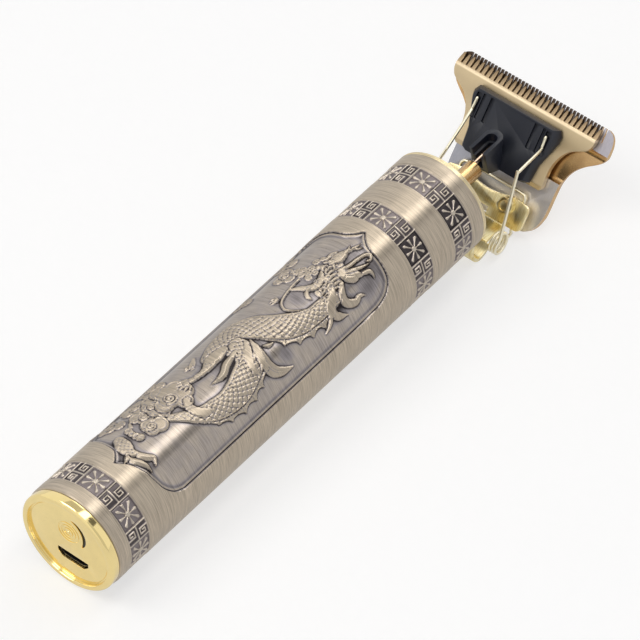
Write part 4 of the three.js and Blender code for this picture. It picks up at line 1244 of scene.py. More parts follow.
# %% Drawing a band
BAND_REPEATS, BAND_DRAWN_R = 8, 13.0
REPEAT = 2 * math.pi * BAND_DRAWN_R / BAND_REPEATS
BAND_COLUMNS, BAND_STEP = 104, 0.1
SQUARE, LINE = 6.45, 0.36
CELL = REPEAT - SQUARE
PETALS, PETAL_REACH = 8, (2.3, 2.7)
SPIRAL = [(-0.5, 3.2), (-0.5, 0.86), (0.96, 0.86), (0.96, 2.34), (0.16, 2.34), (0.16, 1.55)]


def bar(U, V, u0, v0, u1, v1):
    """Distance inside a straight bar, negative outside it."""
    length = math.hypot(u1 - u0, v1 - v0)
    du, dv = (u1 - u0) / length, (v1 - v0) / length
    s = np.clip((U - u0) * du + (V - v0) * dv, 0, length)
    return LINE / 2 - np.maximum(np.abs(U - u0 - s * du), np.abs(V - v0 - s * dv))


def petal(U, V, angle, start, end, narrow, wide):
    """Distance inside a club-shaped petal that grows wider outwards."""
    du, dv = math.cos(angle), math.sin(angle)
    s = np.clip(U * du + V * dv, start, end)
    half = narrow + (wide - narrow) * ((s - start) / (end - start)) ** 2.4
    return half - np.hypot(U - s * du, V - s * dv)


def band_drawing(width):
    """Heights from 0 to 1 of one repeat, a flower square and two spirals, and how far in the square."""
    u = np.linspace(0, REPEAT, BAND_COLUMNS, endpoint=False)
    v = np.linspace(0, width, round(width / BAND_STEP) + 1)
    U, V = np.meshgrid(u, v)
    flower_u, flower_v = U - SQUARE / 2, V - width / 2
    parts = [bar(U, V, at, 0, at, width) for at in (0.0, SQUARE, REPEAT)]
    parts.append(0.62 - np.hypot(flower_u, flower_v))
    for k in range(PETALS):
        turn = 2 * math.pi / PETALS * k
        parts.append(petal(flower_u, flower_v, turn, 0.5, PETAL_REACH[k % 2], 0.11, 0.37))
    cell_u, cell_v = U - SQUARE - CELL / 2, V - width / 2
    parts.append(bar(cell_u, cell_v, -CELL / 2 + 0.35, 0, CELL / 2, 0))
    for hand in (1, -1):
        parts += [bar(hand * cell_u, hand * cell_v, *a, *b) for a, b in zip(SPIRAL, SPIRAL[1:])]
    inside_line = np.max(parts, axis=0)
    to_rail = np.minimum(V, width - V)
    in_square = np.minimum(U, SQUARE - U)
    edge_line = stripe(np.minimum(in_square, to_rail) - 0.36, 0.1) * (in_square > 0)
    drawn = ease((np.maximum(inside_line, 0.2 - to_rail) + 0.05) / 0.12)
    crown = 0.2 * ease(inside_line / 0.3)
    return drawn * (0.8 + crown) - 0.25 * edge_line * (1 - drawn), in_square


# %% [markdown]
# The drawing is wrapped round the barrel as a ring with a flat back. Its ground is blackened most
# between the squares, and one square of the two front bands is painted almost black, a painted dark
# reflection.

# %% The three bands
BAND_TOP, BAND_RELIEF = 0.03, 0.36
BAND_TURN = -2.75 / BAND_DRAWN_R
BAND_MARGIN, BACK_LIFT = 0.03, 0.02
# painted dark reflection: one square of the middle and front bands is painted almost black
FIELD_DARK, GAP_DARK, REFLECTION_DARK_SQUARE = 0.5, 0.78, 0.86


def band_ring(name, start, end, reflection_dark_squares=()):
    drawing, in_square = band_drawing(end - start - 2 * BAND_MARGIN)
    heights = np.tile(drawing, (1, BAND_REPEATS))
    count = heights.shape[1]
    angle = np.linspace(0, 2 * np.pi, count, endpoint=False) + BAND_TURN
    ys = np.linspace(start + BAND_MARGIN, end - BAND_MARGIN, len(heights))
    field = np.hstack([
        np.where(in_square > 0, REFLECTION_DARK_SQUARE if k in reflection_dark_squares else FIELD_DARK, GAP_DARK)
        for k in range(BAND_REPEATS)
    ])
    dark = field * np.clip(1.0 - 1.2 * heights, 0, 1) + 0.9 * np.maximum(-heights, 0)
    face = BARREL_R - BAND_TOP - BAND_RELIEF * (1 - np.clip(heights, -0.3, 1.0))
    rows = list(zip(ys, face, dark))
    rows += [(y, BARREL_R - BAND_SEAT + BACK_LIFT, np.full(count, 0.5)) for y in (ys[-1], ys[0])]
    rings = [round_ring(angle, radius, y) for y, radius, _ in rows]
    return mark_patina(skin(name, rings, looped=True), [tone for _, _, tone in rows])


band_metal = antique_finish("antique_band", srgb(214, 203, 188), srgb(150, 141, 142), 0.4, 0.45)
# the second square of the middle and front bands carries the painted dark reflection
for name, ends, black in zip(("rear_band", "middle_band", "front_band"), BANDS, ((), (1,), (1,))):
    dress(band_ring(name, *ends, black), "body", band_metal, crease=60)

# %% [markdown]
# ## The cap
#
# The cap is turned from brass and gilded, so its face has a raised rim round a flat floor. It is swept
# from a profile with small round edges, because a polished edge shows as a thin bright line. The slot
# for the charging plug and the slit over the charge light are cut through its face. The gilding is a
# mirror with faint smudges and scratches.

# %% Gilt finish
def patchy_finish(name, colours, metallic, roughness, patches, wear, grain, strength, depth,
                  stops=(0.3, 0.7)):
    """A finish that varies between two colours, with a fine grain.

    Patches and grain are the settings of their noise. Wear says how far the roughness varies, and how
    far below the plain roughness it starts.
    """
    material, tree, shader = new_finish(name, colours[1], metallic, roughness)
    point = surface_point(tree)
    share = noise(point, *patches)
    feed(shader, ramp(share, list(zip(stops, colours))))
    uneven_roughness(shader, share, wear[0], roughness - wear[1])
    bump(shader, noise(point, *grain), strength, depth)
    return material


def gilt_finish(name, colour, roughness, scratch=0.05):
    return patchy_finish(name, (darker(colour, 0.94), colour), 1.0, roughness, (220.0, 4.0), (0.07, 0.03),
                         (1400.0, 2.0), scratch, 0.00002)


polished_gold = gilt_finish("polished_gold", srgb(253, 230, 163), 0.09)
print("polished gold has", len(polished_gold.node_tree.nodes), "nodes")

# %% The cap
CAP_SIDE, CAP_SUNK = 13.05, 0.7
PORT = {"x": 1.2, "z": -4.6, "width": 8.6, "height": 2.6, "corner": 1.3}
LIGHT_SLIT = {"z": 3.5, "radius": 4.5, "width": 1.0, "start": -0.56, "sweep": 1.97}

# (radius, y) from the middle of the face, over the rim, and back inside the barrel
cap_profile = [
    (0.0, CAP_SUNK), (6.0, CAP_SUNK), (10.9, CAP_SUNK), (11.0, CAP_SUNK + 0.12), (11.3, CAP_SUNK + 0.12),
    (11.38, 0.5), (11.42, 0.14), (11.5, 0.03), (11.62, 0.0), (12.3, 0.0), (12.5, 0.04), (12.74, 0.2),
    (12.95, 0.45), (13.03, 0.62), (CAP_SIDE, 0.8), (CAP_SIDE, 2.2), (13.0, 2.34), (12.9, 2.4), (12.1, 2.4),
    (12.1, 9.0), (10.6, 9.0), (10.6, 2.3), (0.0, 2.3),
]


def lathe(name, profile, segments=160):
    """A body of revolution whose profile starts and ends on the axis."""
    rings = [circle(max(r, 0.0), y, segments) for r, y in profile[1:-1]]
    points = np.vstack(rings + [np.array([[0.0, profile[0][1], 0.0], [0.0, profile[-1][1], 0.0]])])
    faces = []
    for k in range(len(rings) - 1):
        faces += strip_faces(segments, k * segments, (k + 1) * segments)
    first, last = len(rings) * segments, len(rings) * segments + 1
    end = (len(rings) - 1) * segments
    faces += [(first, (i + 1) % segments, i) for i in range(segments)]
    faces += [(last, end + i, end + (i + 1) % segments) for i in range(segments)]
    return new_mesh(name, points, faces)


def port_outline(grow=0.0):
    """The slot for the plug: a flat top and two cut corners below."""
    w, h, corner = PORT["width"] / 2 + grow, PORT["height"] / 2 + grow, PORT["corner"]
    x, z = PORT["x"], PORT["z"]
    return [(x - w + corner, z - h), (x + w - corner, z - h), (x + w, z), (x + w, z + h), (x - w, z + h),
            (x - w, z)]


def slit_outline(grow=0.0, steps=24):
    """An arc that runs out to a point at each end."""
    share = np.linspace(0, 1, steps)
    angle = LIGHT_SLIT["start"] + share * LIGHT_SLIT["sweep"]
    half = (LIGHT_SLIT["width"] / 2 + grow) * np.sqrt(np.clip(np.sin(np.pi * share), 0.02, 1))
    arcs = []
    for radius, order in ((LIGHT_SLIT["radius"] + half, 1), (LIGHT_SLIT["radius"] - half, -1)):
        arc = np.column_stack([radius * np.cos(angle), LIGHT_SLIT["z"] + radius * np.sin(angle)])
        arcs.append(arc[::order])
    return np.vstack(arcs)


cap = lathe("gilt_cap", cap_profile)
cut_out(cap, slab("port_cutter", port_outline(), -1, 4, standing),
        slab("slit_cutter", slit_outline(), -1, 4, standing))
soften_edges(cap, 0.06, 40)
dress(cap, "body", polished_gold, ["end_cap"])

# %% [markdown]
# The middle of the cap's face carries three fine raised rings round a small boss. They are rings of
# half-round section, set a hair into the face.

# %% Rings on the cap's face
FACE_RINGS_Z = 3.5
FACE_RING_RADII = (1.15, 2.0, 2.85)


def face_ring(name, radius, half=0.15, high=0.2, segments=72):
    rings = []
    for angle in np.radians([0, 36, 72, 108, 144, 180, 270]):
        y = CAP_SUNK - high * max(math.sin(angle), -0.3)
        rings.append(circle(radius + half * math.cos(angle), y, segments, 0.0, FACE_RINGS_Z))
    return skin(name, rings, looped=True)


for k, radius in enumerate(FACE_RING_RADII):
    dress(face_ring(f"cap_ring_{k + 1}", radius), "body", polished_gold)

BOSS = [(0.02, -0.24), (0.2, -0.22), (0.38, -0.12), (0.45, 0.03)]
boss = turned("cap_boss", [(r, CAP_SUNK + y) for r, y in BOSS], 40, 0.0, FACE_RINGS_Z)
dress(boss, "body", polished_gold)

# %% [markdown]
# Behind the slot sits the charging socket: a thin folded steel shell with a black tongue; the shell is
# painted dark, as painted shade inside the slot. Behind the slit is a clear guide that looks dark,
# because there is nothing lit behind it. Steel is given a soft cloudiness and the mouldings a fine grain,
# as a spark-worn mould leaves on them.

# %% Steel and moulded finishes
def steel_finish(name, colour, roughness=0.26):
    return patchy_finish(name, (darker(colour, 0.86), colour), 1.0, roughness, (500.0, 3.0), (0.14, 0.06),
                         (2600.0, 2.0), 0.08, 0.00002)


def moulded_finish(name, colour, roughness=0.48, grain=0.12):
    return patchy_finish(name, (darker(colour, 0.86), colour), 0.0, roughness, (260.0, 4.0), (0.16, 0.08),
                         (3200.0, 3.0, 0.6), grain, 0.00004)


steel = steel_finish("plain_steel", srgb(186, 188, 190))
# painted shade: the socket's shell is dark for the shade inside the slot
nickel_painted_shade = steel_finish("nickel_painted_shade", srgb(64, 62, 60), 0.35)
black_moulding = moulded_finish("black_moulding", srgb(44, 46, 52))
dark_guide, guide_tree, guide_shader = new_finish("light_guide", srgb(22, 21, 19), 0.0, 0.3, IOR=1.45)
bump(guide_shader, noise(surface_point(guide_tree), 900.0), 0.05, 0.00003)
print("finishes:", steel.name, nickel_painted_shade.name, black_moulding.name, dark_guide.name)

# %% Socket and light guide
SOCKET_GAP, SOCKET_SHEET = 0.35, 0.3
TONGUE_SIDE_ROOM, TONGUE_RAISED, TONGUE_T = 1.7, 0.17, 0.45
GUIDE_GAP = 0.15

socket = slab("socket_shell", port_outline(-SOCKET_GAP), 1.1, 7.4, standing)
cut_out(socket, slab("socket_room", port_outline(-SOCKET_GAP - SOCKET_SHEET), 0.5, 6.9, standing))
soften_edges(socket, 0.08)
dress(socket, "body", nickel_painted_shade, ["usb_port_shell"])

tongue_width = PORT["width"] - 2 * TONGUE_SIDE_ROOM
tongue_outline = rounded_box(PORT["x"], PORT["z"] + TONGUE_RAISED, tongue_width, TONGUE_T, 0.12)
tongue = slab("socket_tongue", tongue_outline, 1.9, 6.6, standing)
dress(tongue, "body", black_moulding, ["usb_port_tongue"])

guide = slab("light_guide", slit_outline(-GUIDE_GAP), 1.0, 3.2, standing)
dress(guide, "body", dark_guide, ["cap_light_window"])

# %% [markdown]
# ## The blade set
#
# The two blades lie at an angle across the barrel's end. They are drawn in a frame of their own: x
# across the teeth, s up the blade towards the teeth, and h out of the blade, with h = 0 on the face of
# the moving blade. One function turns points of that frame into the barrel's frame.

# %% The blade's frame
BLADE_TILT = math.radians(53.1)
BLADE_ORIGIN = np.array([0.0, 160.15, -0.12])
ACROSS_BLADE = np.array([1.0, 0.0, 0.0])
UP_BLADE = np.array([0.0, math.cos(BLADE_TILT), math.sin(BLADE_TILT)])
OUT_OF_BLADE = np.array([0.0, -math.sin(BLADE_TILT), math.cos(BLADE_TILT)])
WIDER_THAN_BLADE = 30.0


def on_blade(points):
    """(x, s, h) in the blade's frame to the barrel's (x, y, z)."""
    p = np.asarray(points, float).reshape(-1, 3)
    return BLADE_ORIGIN + p[:, :1] * ACROSS_BLADE + p[:, 1:2] * UP_BLADE + p[:, 2:] * OUT_OF_BLADE


def shifted(frame_of, dx):
    return lambda p: frame_of(p) + (dx, 0, 0)


def mirrored(half):
    """A whole outline from its right half, listed from the teeth down."""
    half = np.asarray(half, float)
    return np.vstack([half, (half * (-1, 1))[::-1]])


def wedge(name, section):
    """A tool that runs right across the blade, from its (s, h) section."""
    return prism(name, section, WIDER_THAN_BLADE, on_blade)


def rod_on_blade(name, radius, x, s, low, high, frame_of=on_blade):
    return slab(name, disc(x, s, radius, 40), low, high, frame_of)


print("the blade points", np.round(UP_BLADE, 3), "and faces", np.round(OUT_OF_BLADE, 3))

# %% [markdown]
# A blade starts as a slab with a soft outline. Wedges plane its slopes and its hollow, and then the
# gaps between the teeth are cut out in one go. A gap is narrow and round at its root and opens towards
# the tips. Last, every edge is rounded a little, because a plated edge catches the light.

# %% Gaps between the teeth
FIXED_TEETH = {
    "count": 40, "pitch": 1.0, "at_root": 0.13, "at_tip": 0.25, "root": 8.0, "knee": 8.4, "tip": 11.5,
}
MOVING_TEETH = {
    "count": 29, "pitch": 1.364, "at_root": 0.24, "at_tip": 0.54, "root": 8.45, "knee": 9.7, "tip": 10.8,
}
PAST_TIPS = 0.5


def gap_outline(teeth, x):
    """One gap at x, listed from the left tip round its root to the right tip."""
    wide, narrow = teeth["at_tip"], teeth["at_root"]
    end, knee, root = teeth["tip"] + PAST_TIPS, teeth["knee"], teeth["root"] + narrow
    round_root = [
        (x + narrow * math.cos(a), root + narrow * math.sin(a)) for a in np.radians([210, 240, 270, 300, 330])
    ]
    return [(x - wide, end), (x - narrow, knee), (x - narrow, root)] + round_root + [
        (x + narrow, root), (x + narrow, knee), (x + wide, end)]


def tooth_gaps(teeth, low, high, frame_of):
    """All gaps between the teeth as one cutter."""
    points, faces = [], []
    for i in range(teeth["count"]):
        flat = np.array(gap_outline(teeth, (i - (teeth["count"] - 1) / 2) * teeth["pitch"]))
        start, count = len(points), len(flat)
        for h in (low, high):
            points += list(frame_of(raised(flat, h)))
        faces.append(tuple(range(start, start + count))[::-1])
        faces.append(tuple(range(start + count, start + 2 * count)))
        faces += strip_faces(count, start, start + count)
    return new_mesh("gaps", points, faces)


print("gaps:", FIXED_TEETH["count"], "in the fixed blade,", MOVING_TEETH["count"], "in the moving one")

# %% The two blades
MOVING_T, CLEARANCE, FIXED_T = 1.9, 0.3, 1.8
CUT_H = -MOVING_T - CLEARANCE
SKIN_H = CUT_H - FIXED_T
FIXED_SHIFT = 1.0
RIDGE_S, FOOT_S = 8.15, -7.9
HOLLOW_DEEP, HOLLOW_ROUND = 0.9, 0.55
SCREW_AT, SCREW_BORE_R, SCREW_SINK_R = (6.6, -15.5), 1.3, 2.75
PEG_AT, PEG_HOLE_R = (6, 1.5), 1.3
cutter_low, cutter_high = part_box("moving_blade")
CUTTER_REST_X = ((cutter_low.x + cutter_high.x) / 2 - BARREL_ORIGIN[0]) / MM

FIXED_HALF = [
    (20.3, FIXED_TEETH["tip"]), (21.3, 11.0), (22.0, 10.0), (22.4, 8.3), (22.4, 6.5), (22.2, 5.0),
    (21.3, 3.5), (19.8, 2.2), (17.9, 0.8), (16.2, -0.9), (15.1, -2.6), (14.4, -4.6), (14.1, -7.0),
    (14.1, -13.5),
    (13.8, -15.6), (13.1, -17.6), (12.1, -19.0), (10.9, -19.9), (9.8, -20.2),
]
MOVING_HALF = [
    (20.1, MOVING_TEETH["tip"]), (20.3, 9.2), (20.3, 7.4), (20.0, 6.2), (19.2, 5.0), (17.4, 4.0), (15.5, 2.8),
    (14.2, 1.3), (13.3, -0.5), (12.8, -2.2), (12.6, -4.0), (12.7, -7.0), (12.8, -8.0), (12.2, -9.0),
]


def blade_blank(name, half, low, high, frame_of):
    """The slab that a blade is cut from; its outline is soft below the corner at the teeth."""
    return slab(name, mirrored(np.vstack([[half[0]], smooth(half[1:], 4)])), low, high, frame_of)


def fixed_blade():
    frame_of = shifted(on_blade, FIXED_SHIFT)
    blade = blade_blank("fixed_blade_plate", FIXED_HALF, SKIN_H, CUT_H, frame_of)
    floor_h, round_h = CUT_H - HOLLOW_DEEP, CUT_H - HOLLOW_ROUND
    hollow = [(-5.9, CUT_H + 0.5), (-5.8, CUT_H), (-5.3, round_h), (-4.6, floor_h), (4.4, floor_h),
              (5.1, round_h), (5.6, CUT_H), (5.7, CUT_H + 0.5)]
    thin = [(5.0, SKIN_H - 1), (5.0, SKIN_H), (13.5, SKIN_H + 1.55), (13.5, SKIN_H - 1)]
    cut_out(blade, wedge("hollow", hollow), wedge("thin_tips", thin),
            tooth_gaps(FIXED_TEETH, SKIN_H - 1, CUT_H + 1, frame_of))
    for side in (-1, 1):
        x, s = side * SCREW_AT[0], SCREW_AT[1]
        cut_out(blade, rod_on_blade("bore", SCREW_BORE_R, x, s, SKIN_H - 1, CUT_H + 1),
                rod_on_blade("sink", SCREW_SINK_R, x, s, SKIN_H - 1, SKIN_H + 1.0))
    return soften_edges(blade, 0.09, 35)


def moving_blade():
    frame_of = shifted(on_blade, CUTTER_REST_X)
    blade = blade_blank("moving_blade_plate", MOVING_HALF, -MOVING_T, 0, frame_of)
    to_tips = [(RIDGE_S, 0), (12.5, -2.43), (12.5, 1), (RIDGE_S, 1)]
    at_foot = [(FOOT_S, 0), (FOOT_S, 1), (-11, 1), (-11, -1.3)]
    cut_out(blade, wedge("tip_slope", to_tips), wedge("foot_slope", at_foot),
            tooth_gaps(MOVING_TEETH, -3, 1, frame_of))
    for side in (-1, 1):
        cut_out(blade, rod_on_blade("peg_hole", PEG_HOLE_R, PEG_AT[0] * side, PEG_AT[1], -3, 1, frame_of))
    return soften_edges(blade, 0.12, 20)


blades = fixed_blade(), moving_blade()
print("blades:", [blade.name for blade in blades], f"cutter at rest {CUTTER_REST_X:.2f} mm off the middle")

# %% [markdown]
# Both blades are plated gold, with a satin face. Materials read where a point lies on the blade: the
# ridge above the moving blade's teeth carries a painted highlight, and the ground slope of its teeth is
# painted in shade, darkest at the tips.

# %% Satin gold of the moving blade
RIDGE_UP = 8.1
# a painted highlight on the ridge, painted shade on the slope and darker painted shade at the tips
RIDGE_HIGHLIGHT = (1.5, 1.55, 1.7, 1)
SLOPE_SHADE, TIP_SHADE = (0.75, 0.7, 0.68, 1), (0.47, 0.41, 0.38, 1)


def reach_along(tree, direction):
    """How far a point lies from the blade's origin along a direction, in millimetres."""
    origin = Vector(placed(BLADE_ORIGIN))
    moved = add_node(tree, "VectorMath", {0: surface_point(tree), 1: origin}, operation="SUBTRACT").outputs[0]
    reach = add_node(tree, "VectorMath", {0: moved, 1: Vector(direction)}, operation="DOT_PRODUCT")
    return maths("DIVIDE", reach.outputs["Value"], MM)


def satin_gold_finish():
    colour, roughness = srgb(212, 192, 156), 0.46
    material, tree, shader = new_finish("satin_gold", colour, 1.0, roughness)
    point = surface_point(tree)
    blast = noise(point, 4200.0, 3.0, 0.6)
    cloudy = noise(point, 160.0, 3.0)
    tone = ramp(cloudy, [(0.3, darker(colour, 0.9)), (0.7, colour)])
    share = between(reach_along(tree, UP_BLADE), RIDGE_UP - 0.6, RIDGE_UP + 2.9)
    # painted highlight along the ridge, then painted shade down the teeth to their tips
    wear = ramp(share, [
        (0.0, grey(1.0)), (0.1, RIDGE_HIGHLIGHT), (0.22, RIDGE_HIGHLIGHT), (0.3, SLOPE_SHADE), (1.0, TIP_SHADE),
    ])
    feed(shader, blend_colours(1.0, tone, wear, "MULTIPLY"))
    uneven_roughness(shader, cloudy, 0.12, roughness - 0.06)
    bump(shader, blast, 0.14, 0.00003)
    return material


satin_gold = satin_gold_finish()
print("finish:", satin_gold.name)

# %% [markdown]
# On the fixed blade, the rails that the moving blade slides on are ground bare, so one material carries
# both metals: it reads the height of a point in the blade's frame, and where that is the ground plane
# the plating gives way to steel. The bare stem is painted darker on its left and lighter on its right
# and low down, a painted reflection of the lit and shaded room, and the teeth are painted in shadow
# between the tips.

# %% Plating and ground steel of the fixed blade
# painted shadow over the teeth, between the tips
TEETH_SHADOW = srgb(78, 64, 54)
SHADOW_FROM, SHADOW_FULL, SHADOW_TO_X = 7.6, 8.6, 19.2


def plated_finish():
    material, tree, shader = new_finish("plated_blade", srgb(204, 164, 108), 1.0, 0.24)
    across, up = reach_along(tree, ACROSS_BLADE), reach_along(tree, UP_BLADE)
    off_plane = maths("ABSOLUTE", maths("SUBTRACT", reach_along(tree, OUT_OF_BLADE), CUT_H))
    normal = add_node(tree, "NewGeometry").outputs["Normal"]
    facing = add_node(tree, "VectorMath", {0: normal, 1: Vector(OUT_OF_BLADE)}, operation="DOT_PRODUCT")
    on_plane = maths("MULTIPLY", maths("LESS_THAN", off_plane, 0.02),
                     maths("GREATER_THAN", facing.outputs["Value"], 0.97))
    stone_marks = add_node(tree, "CombineXYZ", {
        0: maths("MULTIPLY", across, 9.0), 1: maths("MULTIPLY", up, 0.5),
    }).outputs[0]
    lines = noise(stone_marks, 1.0, 3.0, 0.6)
    cloudy = noise(surface_point(tree), 300.0, 3.0)
    rail_steel = ramp(lines, [(0.3, srgb(172, 168, 176)), (0.7, srgb(196, 192, 199))])
    # painted reflection: the stem is darker on the left and lighter on the right
    shaded_stem = ramp(lines, [(0.3, srgb(152, 152, 160)), (0.7, srgb(172, 172, 179))])
    lit_stem = ramp(lines, [(0.3, srgb(238, 234, 236)), (0.7, srgb(252, 249, 250))])
    stem_light_and_shade = blend_colours(between(across, -3.0, 6.0), shaded_stem, lit_stem)
    # painted light: the lower stem takes the lighter steel
    ground_steel = blend_colours(between(up, -1.0, -4.0), rail_steel, stem_light_and_shade)
    gold = ramp(cloudy, [(0.3, srgb(194, 158, 112)), (0.7, srgb(214, 179, 130))])
    plates = blend_colours(on_plane, gold, ground_steel)
    # painted shadow on the teeth
    teeth_in_shadow = maths("MULTIPLY", between(up, SHADOW_FROM, SHADOW_FULL),
                     maths("LESS_THAN", across, SHADOW_TO_X))
    feed(shader, blend_colours(teeth_in_shadow, plates, TEETH_SHADOW))
    cloud_rough = maths("ADD", maths("MULTIPLY", cloudy, 0.1), 0.17)
    uneven_roughness(shader, on_plane, 0.14, cloud_rough)
    bump(shader, lines, 0.06, 0.00002)
    return material


dress(blades[0], "body", plated_finish(), ["fixed_blade"])
dress(blades[1], "cutter", satin_gold, ["moving_blade"])

# %% [markdown]
# The black carrier sits on the moving blade. It is a moulded plate with sloping sides, three grooves
# at each side, where the spring's arms rest, and a raised fork in the middle that the drive pin works
# in. Moulded edges are never sharp, so the whole carrier gets a small radius.

# %% The carrier
CARRIER_HALF = [(11.7, 6.4), (12.6, 4.9), (12.5, 3.4), (11.7, 0.8), (10.2, -3.6), (9.8, -8.2), (8.6, -8.8)]
CARRIER_FOOT, CARRIER_SHOULDER, CARRIER_TOP = 0.3, 1.0, 2.8
FORK = {"top": 4.3, "half": 2.3, "start": 146.8, "end": 155.2, "slot_half": 0.85, "slot_end": 152.2}
FUNNEL_HALF, FUNNEL_FLOOR = 1.45, 1.9
GROOVES = [(6.4, 2.4, 1.1, 6.4, 0.7), (8.7, 2.4, 0.8, 6.4, 0.6), (10.05, 2.2, 1.5, 6.2, 0.9)]


def round_ended(half, end, start=140.0, steps=14):
    """A strip along the barrel with a round far end, drawn in (x, y)."""
    arc = [(half * math.cos(a), end + half * math.sin(a)) for a in np.linspace(0, math.pi, steps)]
    return [(half, start)] + arc + [(-half, start)]


def carrier_plate(frame_of):
    low = mirrored(CARRIER_HALF)
    high = mirrored([(x - 1.0, s - 0.35 if s > 4 else s + 0.2) for x, s in CARRIER_HALF])
    levels = ((low, CARRIER_FOOT), (low, CARRIER_SHOULDER), (high, CARRIER_TOP))
    plate = skin("blade_carrier_moulding", [frame_of(raised(flat, h)) for flat, h in levels])
    for side in (-1, 1):
        for x, s, wide, long, deep in GROOVES:
            outline = rounded_box(side * x, s, wide, long, 0.3)
            cut_out(plate, slab("groove", outline, CARRIER_TOP - deep, CARRIER_TOP + 1, frame_of))
    return plate


def carrier():
    frame_of = shifted(on_blade, CUTTER_REST_X)
    aside = shifted(lambda p: p, CUTTER_REST_X)
    plate = carrier_plate(frame_of)
    half, end, top = FORK["half"], FORK["end"], FORK["top"]
    side_view = [(FORK["start"], top), (end, top), (end + 1, -2), (154.9, -5.6), (153.0, -5.6), (148.6, -3.4)]
    fork = prism("fork", side_view, half, aside)
    work(fork, "INTERSECT", slab("keep", round_ended(half, end - half), -8, top + 1, aside))
    join_on(plate, fork)
    cut_out(plate, slab("slot", round_ended(FORK["slot_half"], FORK["slot_end"]), -2.4, 6, aside),
            slab("funnel", round_ended(FUNNEL_HALF, FORK["slot_end"]), FUNNEL_FLOOR, 6, aside))
    for side in (-1, 1):
        join_on(plate, rod_on_blade("peg", 1.0, side * PEG_AT[0], PEG_AT[1], -MOVING_T + 0.1, 0.6, frame_of))
    return soften_edges(plate, 0.16, 30)


carrier_black = moulded_finish("carrier_moulding", srgb(21, 26, 40), 0.42, 0.1)
dress(carrier(), "cutter", carrier_black, ["blade_carrier"])

# %% [markdown]
# ## The bracket and the spring
#
# The bracket is one strip of sheet brass, bent into a trough under the barrel's rim, with a tab that
# the fixed blade is screwed to. The strip follows a soft line drawn in side view. Flange, trough, floor
# and tab differ in width, so each is a piece of its own, and they are joined.

# %% The bracket
SHEET_T = 0.9
FLANGE_LINE = [(132.25, 5), (132.25, -9.0), (132.8, -10.4), (134.4, -11.6)]
TROUGH_LINE = [(134.4, -11.6), (133.9, -13.0), (134.0, -14.8), (135.2, -16.9), (137.0, -17.9), (139.0, -17.4),
               (140.8, -16.3)]
FLOOR_LINE = [(140.8, -16.3), (144.0, -16.2), (147.2, -16.6), (148.6, -15.8)]
FLANGE_HALF, TROUGH_HALF, FLOOR_HALF_WIDTH = 8.6, 9.0, 7.8
FLANGE_R, HUB_HOLE_R = 11.9, 3.2
BOSS_R, BOSS_TOP, BOSS_BORE_R = 2.1, 2.6, 1.45
BRACKET_SCREW_AT = (7, -4.5)


def sheet_side(line, per_span):
    """The closed side view of a sheet that follows a soft line."""
    line = smooth(line, per_span)
    direction = np.gradient(line, axis=0)
    direction /= np.linalg.norm(direction, axis=1)[:, None]
    out = direction[:, ::-1] * (-1, 1) * SHEET_T / 2
    return np.vstack([line - out, (line + out)[::-1]])


def tab_outline():
    upper = [(0, -14.45), (3.0, -14.1), (5.2, -13.6), (7.6, -13.1), (10.6, -13.5)]
    corner_x, corner_r = 10.6, 1.5
    right_half = [smooth(upper, 4)] + [
        [(corner_x + corner_r * math.sin(a), s + corner_r * math.cos(a))
         for a in np.linspace(first, last, steps)]
        for s, first, last, steps in ((-15.0, 0.3, math.pi / 2, 5), (-18.7, math.pi / 2, math.pi, 6))
    ]
    return mirrored(np.vstack(right_half)[1:])


def bracket():
    x, s = SCREW_AT
    flange = prism("head_bracket_sheet", sheet_side(FLANGE_LINE, 8), FLANGE_HALF)
    work(flange, "INTERSECT", turned("core", [(FLANGE_R, 130), (FLANGE_R, 136)]))
    join_on(flange, prism("trough", sheet_side(TROUGH_LINE, 8), TROUGH_HALF),
            prism("floor_strip", sheet_side(FLOOR_LINE, 6), FLOOR_HALF_WIDTH),
            slab("tab", tab_outline(), -0.3, 0.6, on_blade))
    for side in (-1, 1):
        join_on(flange, rod_on_blade("boss", BOSS_R, side * x, s, 0.5, BOSS_TOP),
                rod_on_blade("foot", BOSS_R, side * x, s, CUT_H + 0.3, -0.2))
    for side in (-1, 1):
        hole_x, hole_z = BRACKET_SCREW_AT[0] * side, BRACKET_SCREW_AT[1]
        cut_out(flange, rod_on_blade("bore", BOSS_BORE_R, side * x, s, -3, 4),
                turned("screw_hole", [(1.3, 130), (1.3, 136)], 40, hole_x, hole_z))
    cut_out(flange, turned("hub_hole", [(HUB_HOLE_R, 130), (HUB_HOLE_R, 135)], 64),
            slab("slot", box_outline(0, -19.05, 2.3, 0.85), -4, 3, on_blade))
    return soften_edges(flange, 0.14, 35)


def pressed_finish():
    """Sheet brass, gilded over the fine lines that the rolling mill left along it."""
    material, tree, shader = new_finish("pressed_gold", srgb(240, 222, 168), 1.0, 0.3)
    point = surface_point(tree)
    mill_scale = Vector((5200.0, 420.0, 420.0))
    stretched = add_node(tree, "VectorMath", {0: point, 1: mill_scale}, operation="MULTIPLY").outputs[0]
    lines = noise(stretched, 1.0, 3.0, 0.6)
    cloudy = noise(point, 190.0, 3.0)
    tone = ramp(lines, [
        (0.3, srgb(226, 204, 144)), (0.5, srgb(248, 232, 178)), (0.7, srgb(255, 246, 208)),
    ])
    cloud_tone = ramp(cloudy, [(0.3, grey(0.88)), (0.65, grey(1.0))])
    feed(shader, blend_colours(1.0, tone, cloud_tone, "MULTIPLY"))
    uneven_roughness(shader, cloudy, 0.2, 0.19)
    bump(shader, lines, 0.12, 0.00003)
    return material


pressed_gold = pressed_finish()
dress(bracket(), "body", pressed_gold, ["head_bracket"])

# %% [markdown]
# The spring is one wire: a tip that presses on the carrier, an arm down to a coil, a leg along the
# bracket's tab, a bridge across, and the same again on the other side. A tube is swept along a smooth
# line through its points.

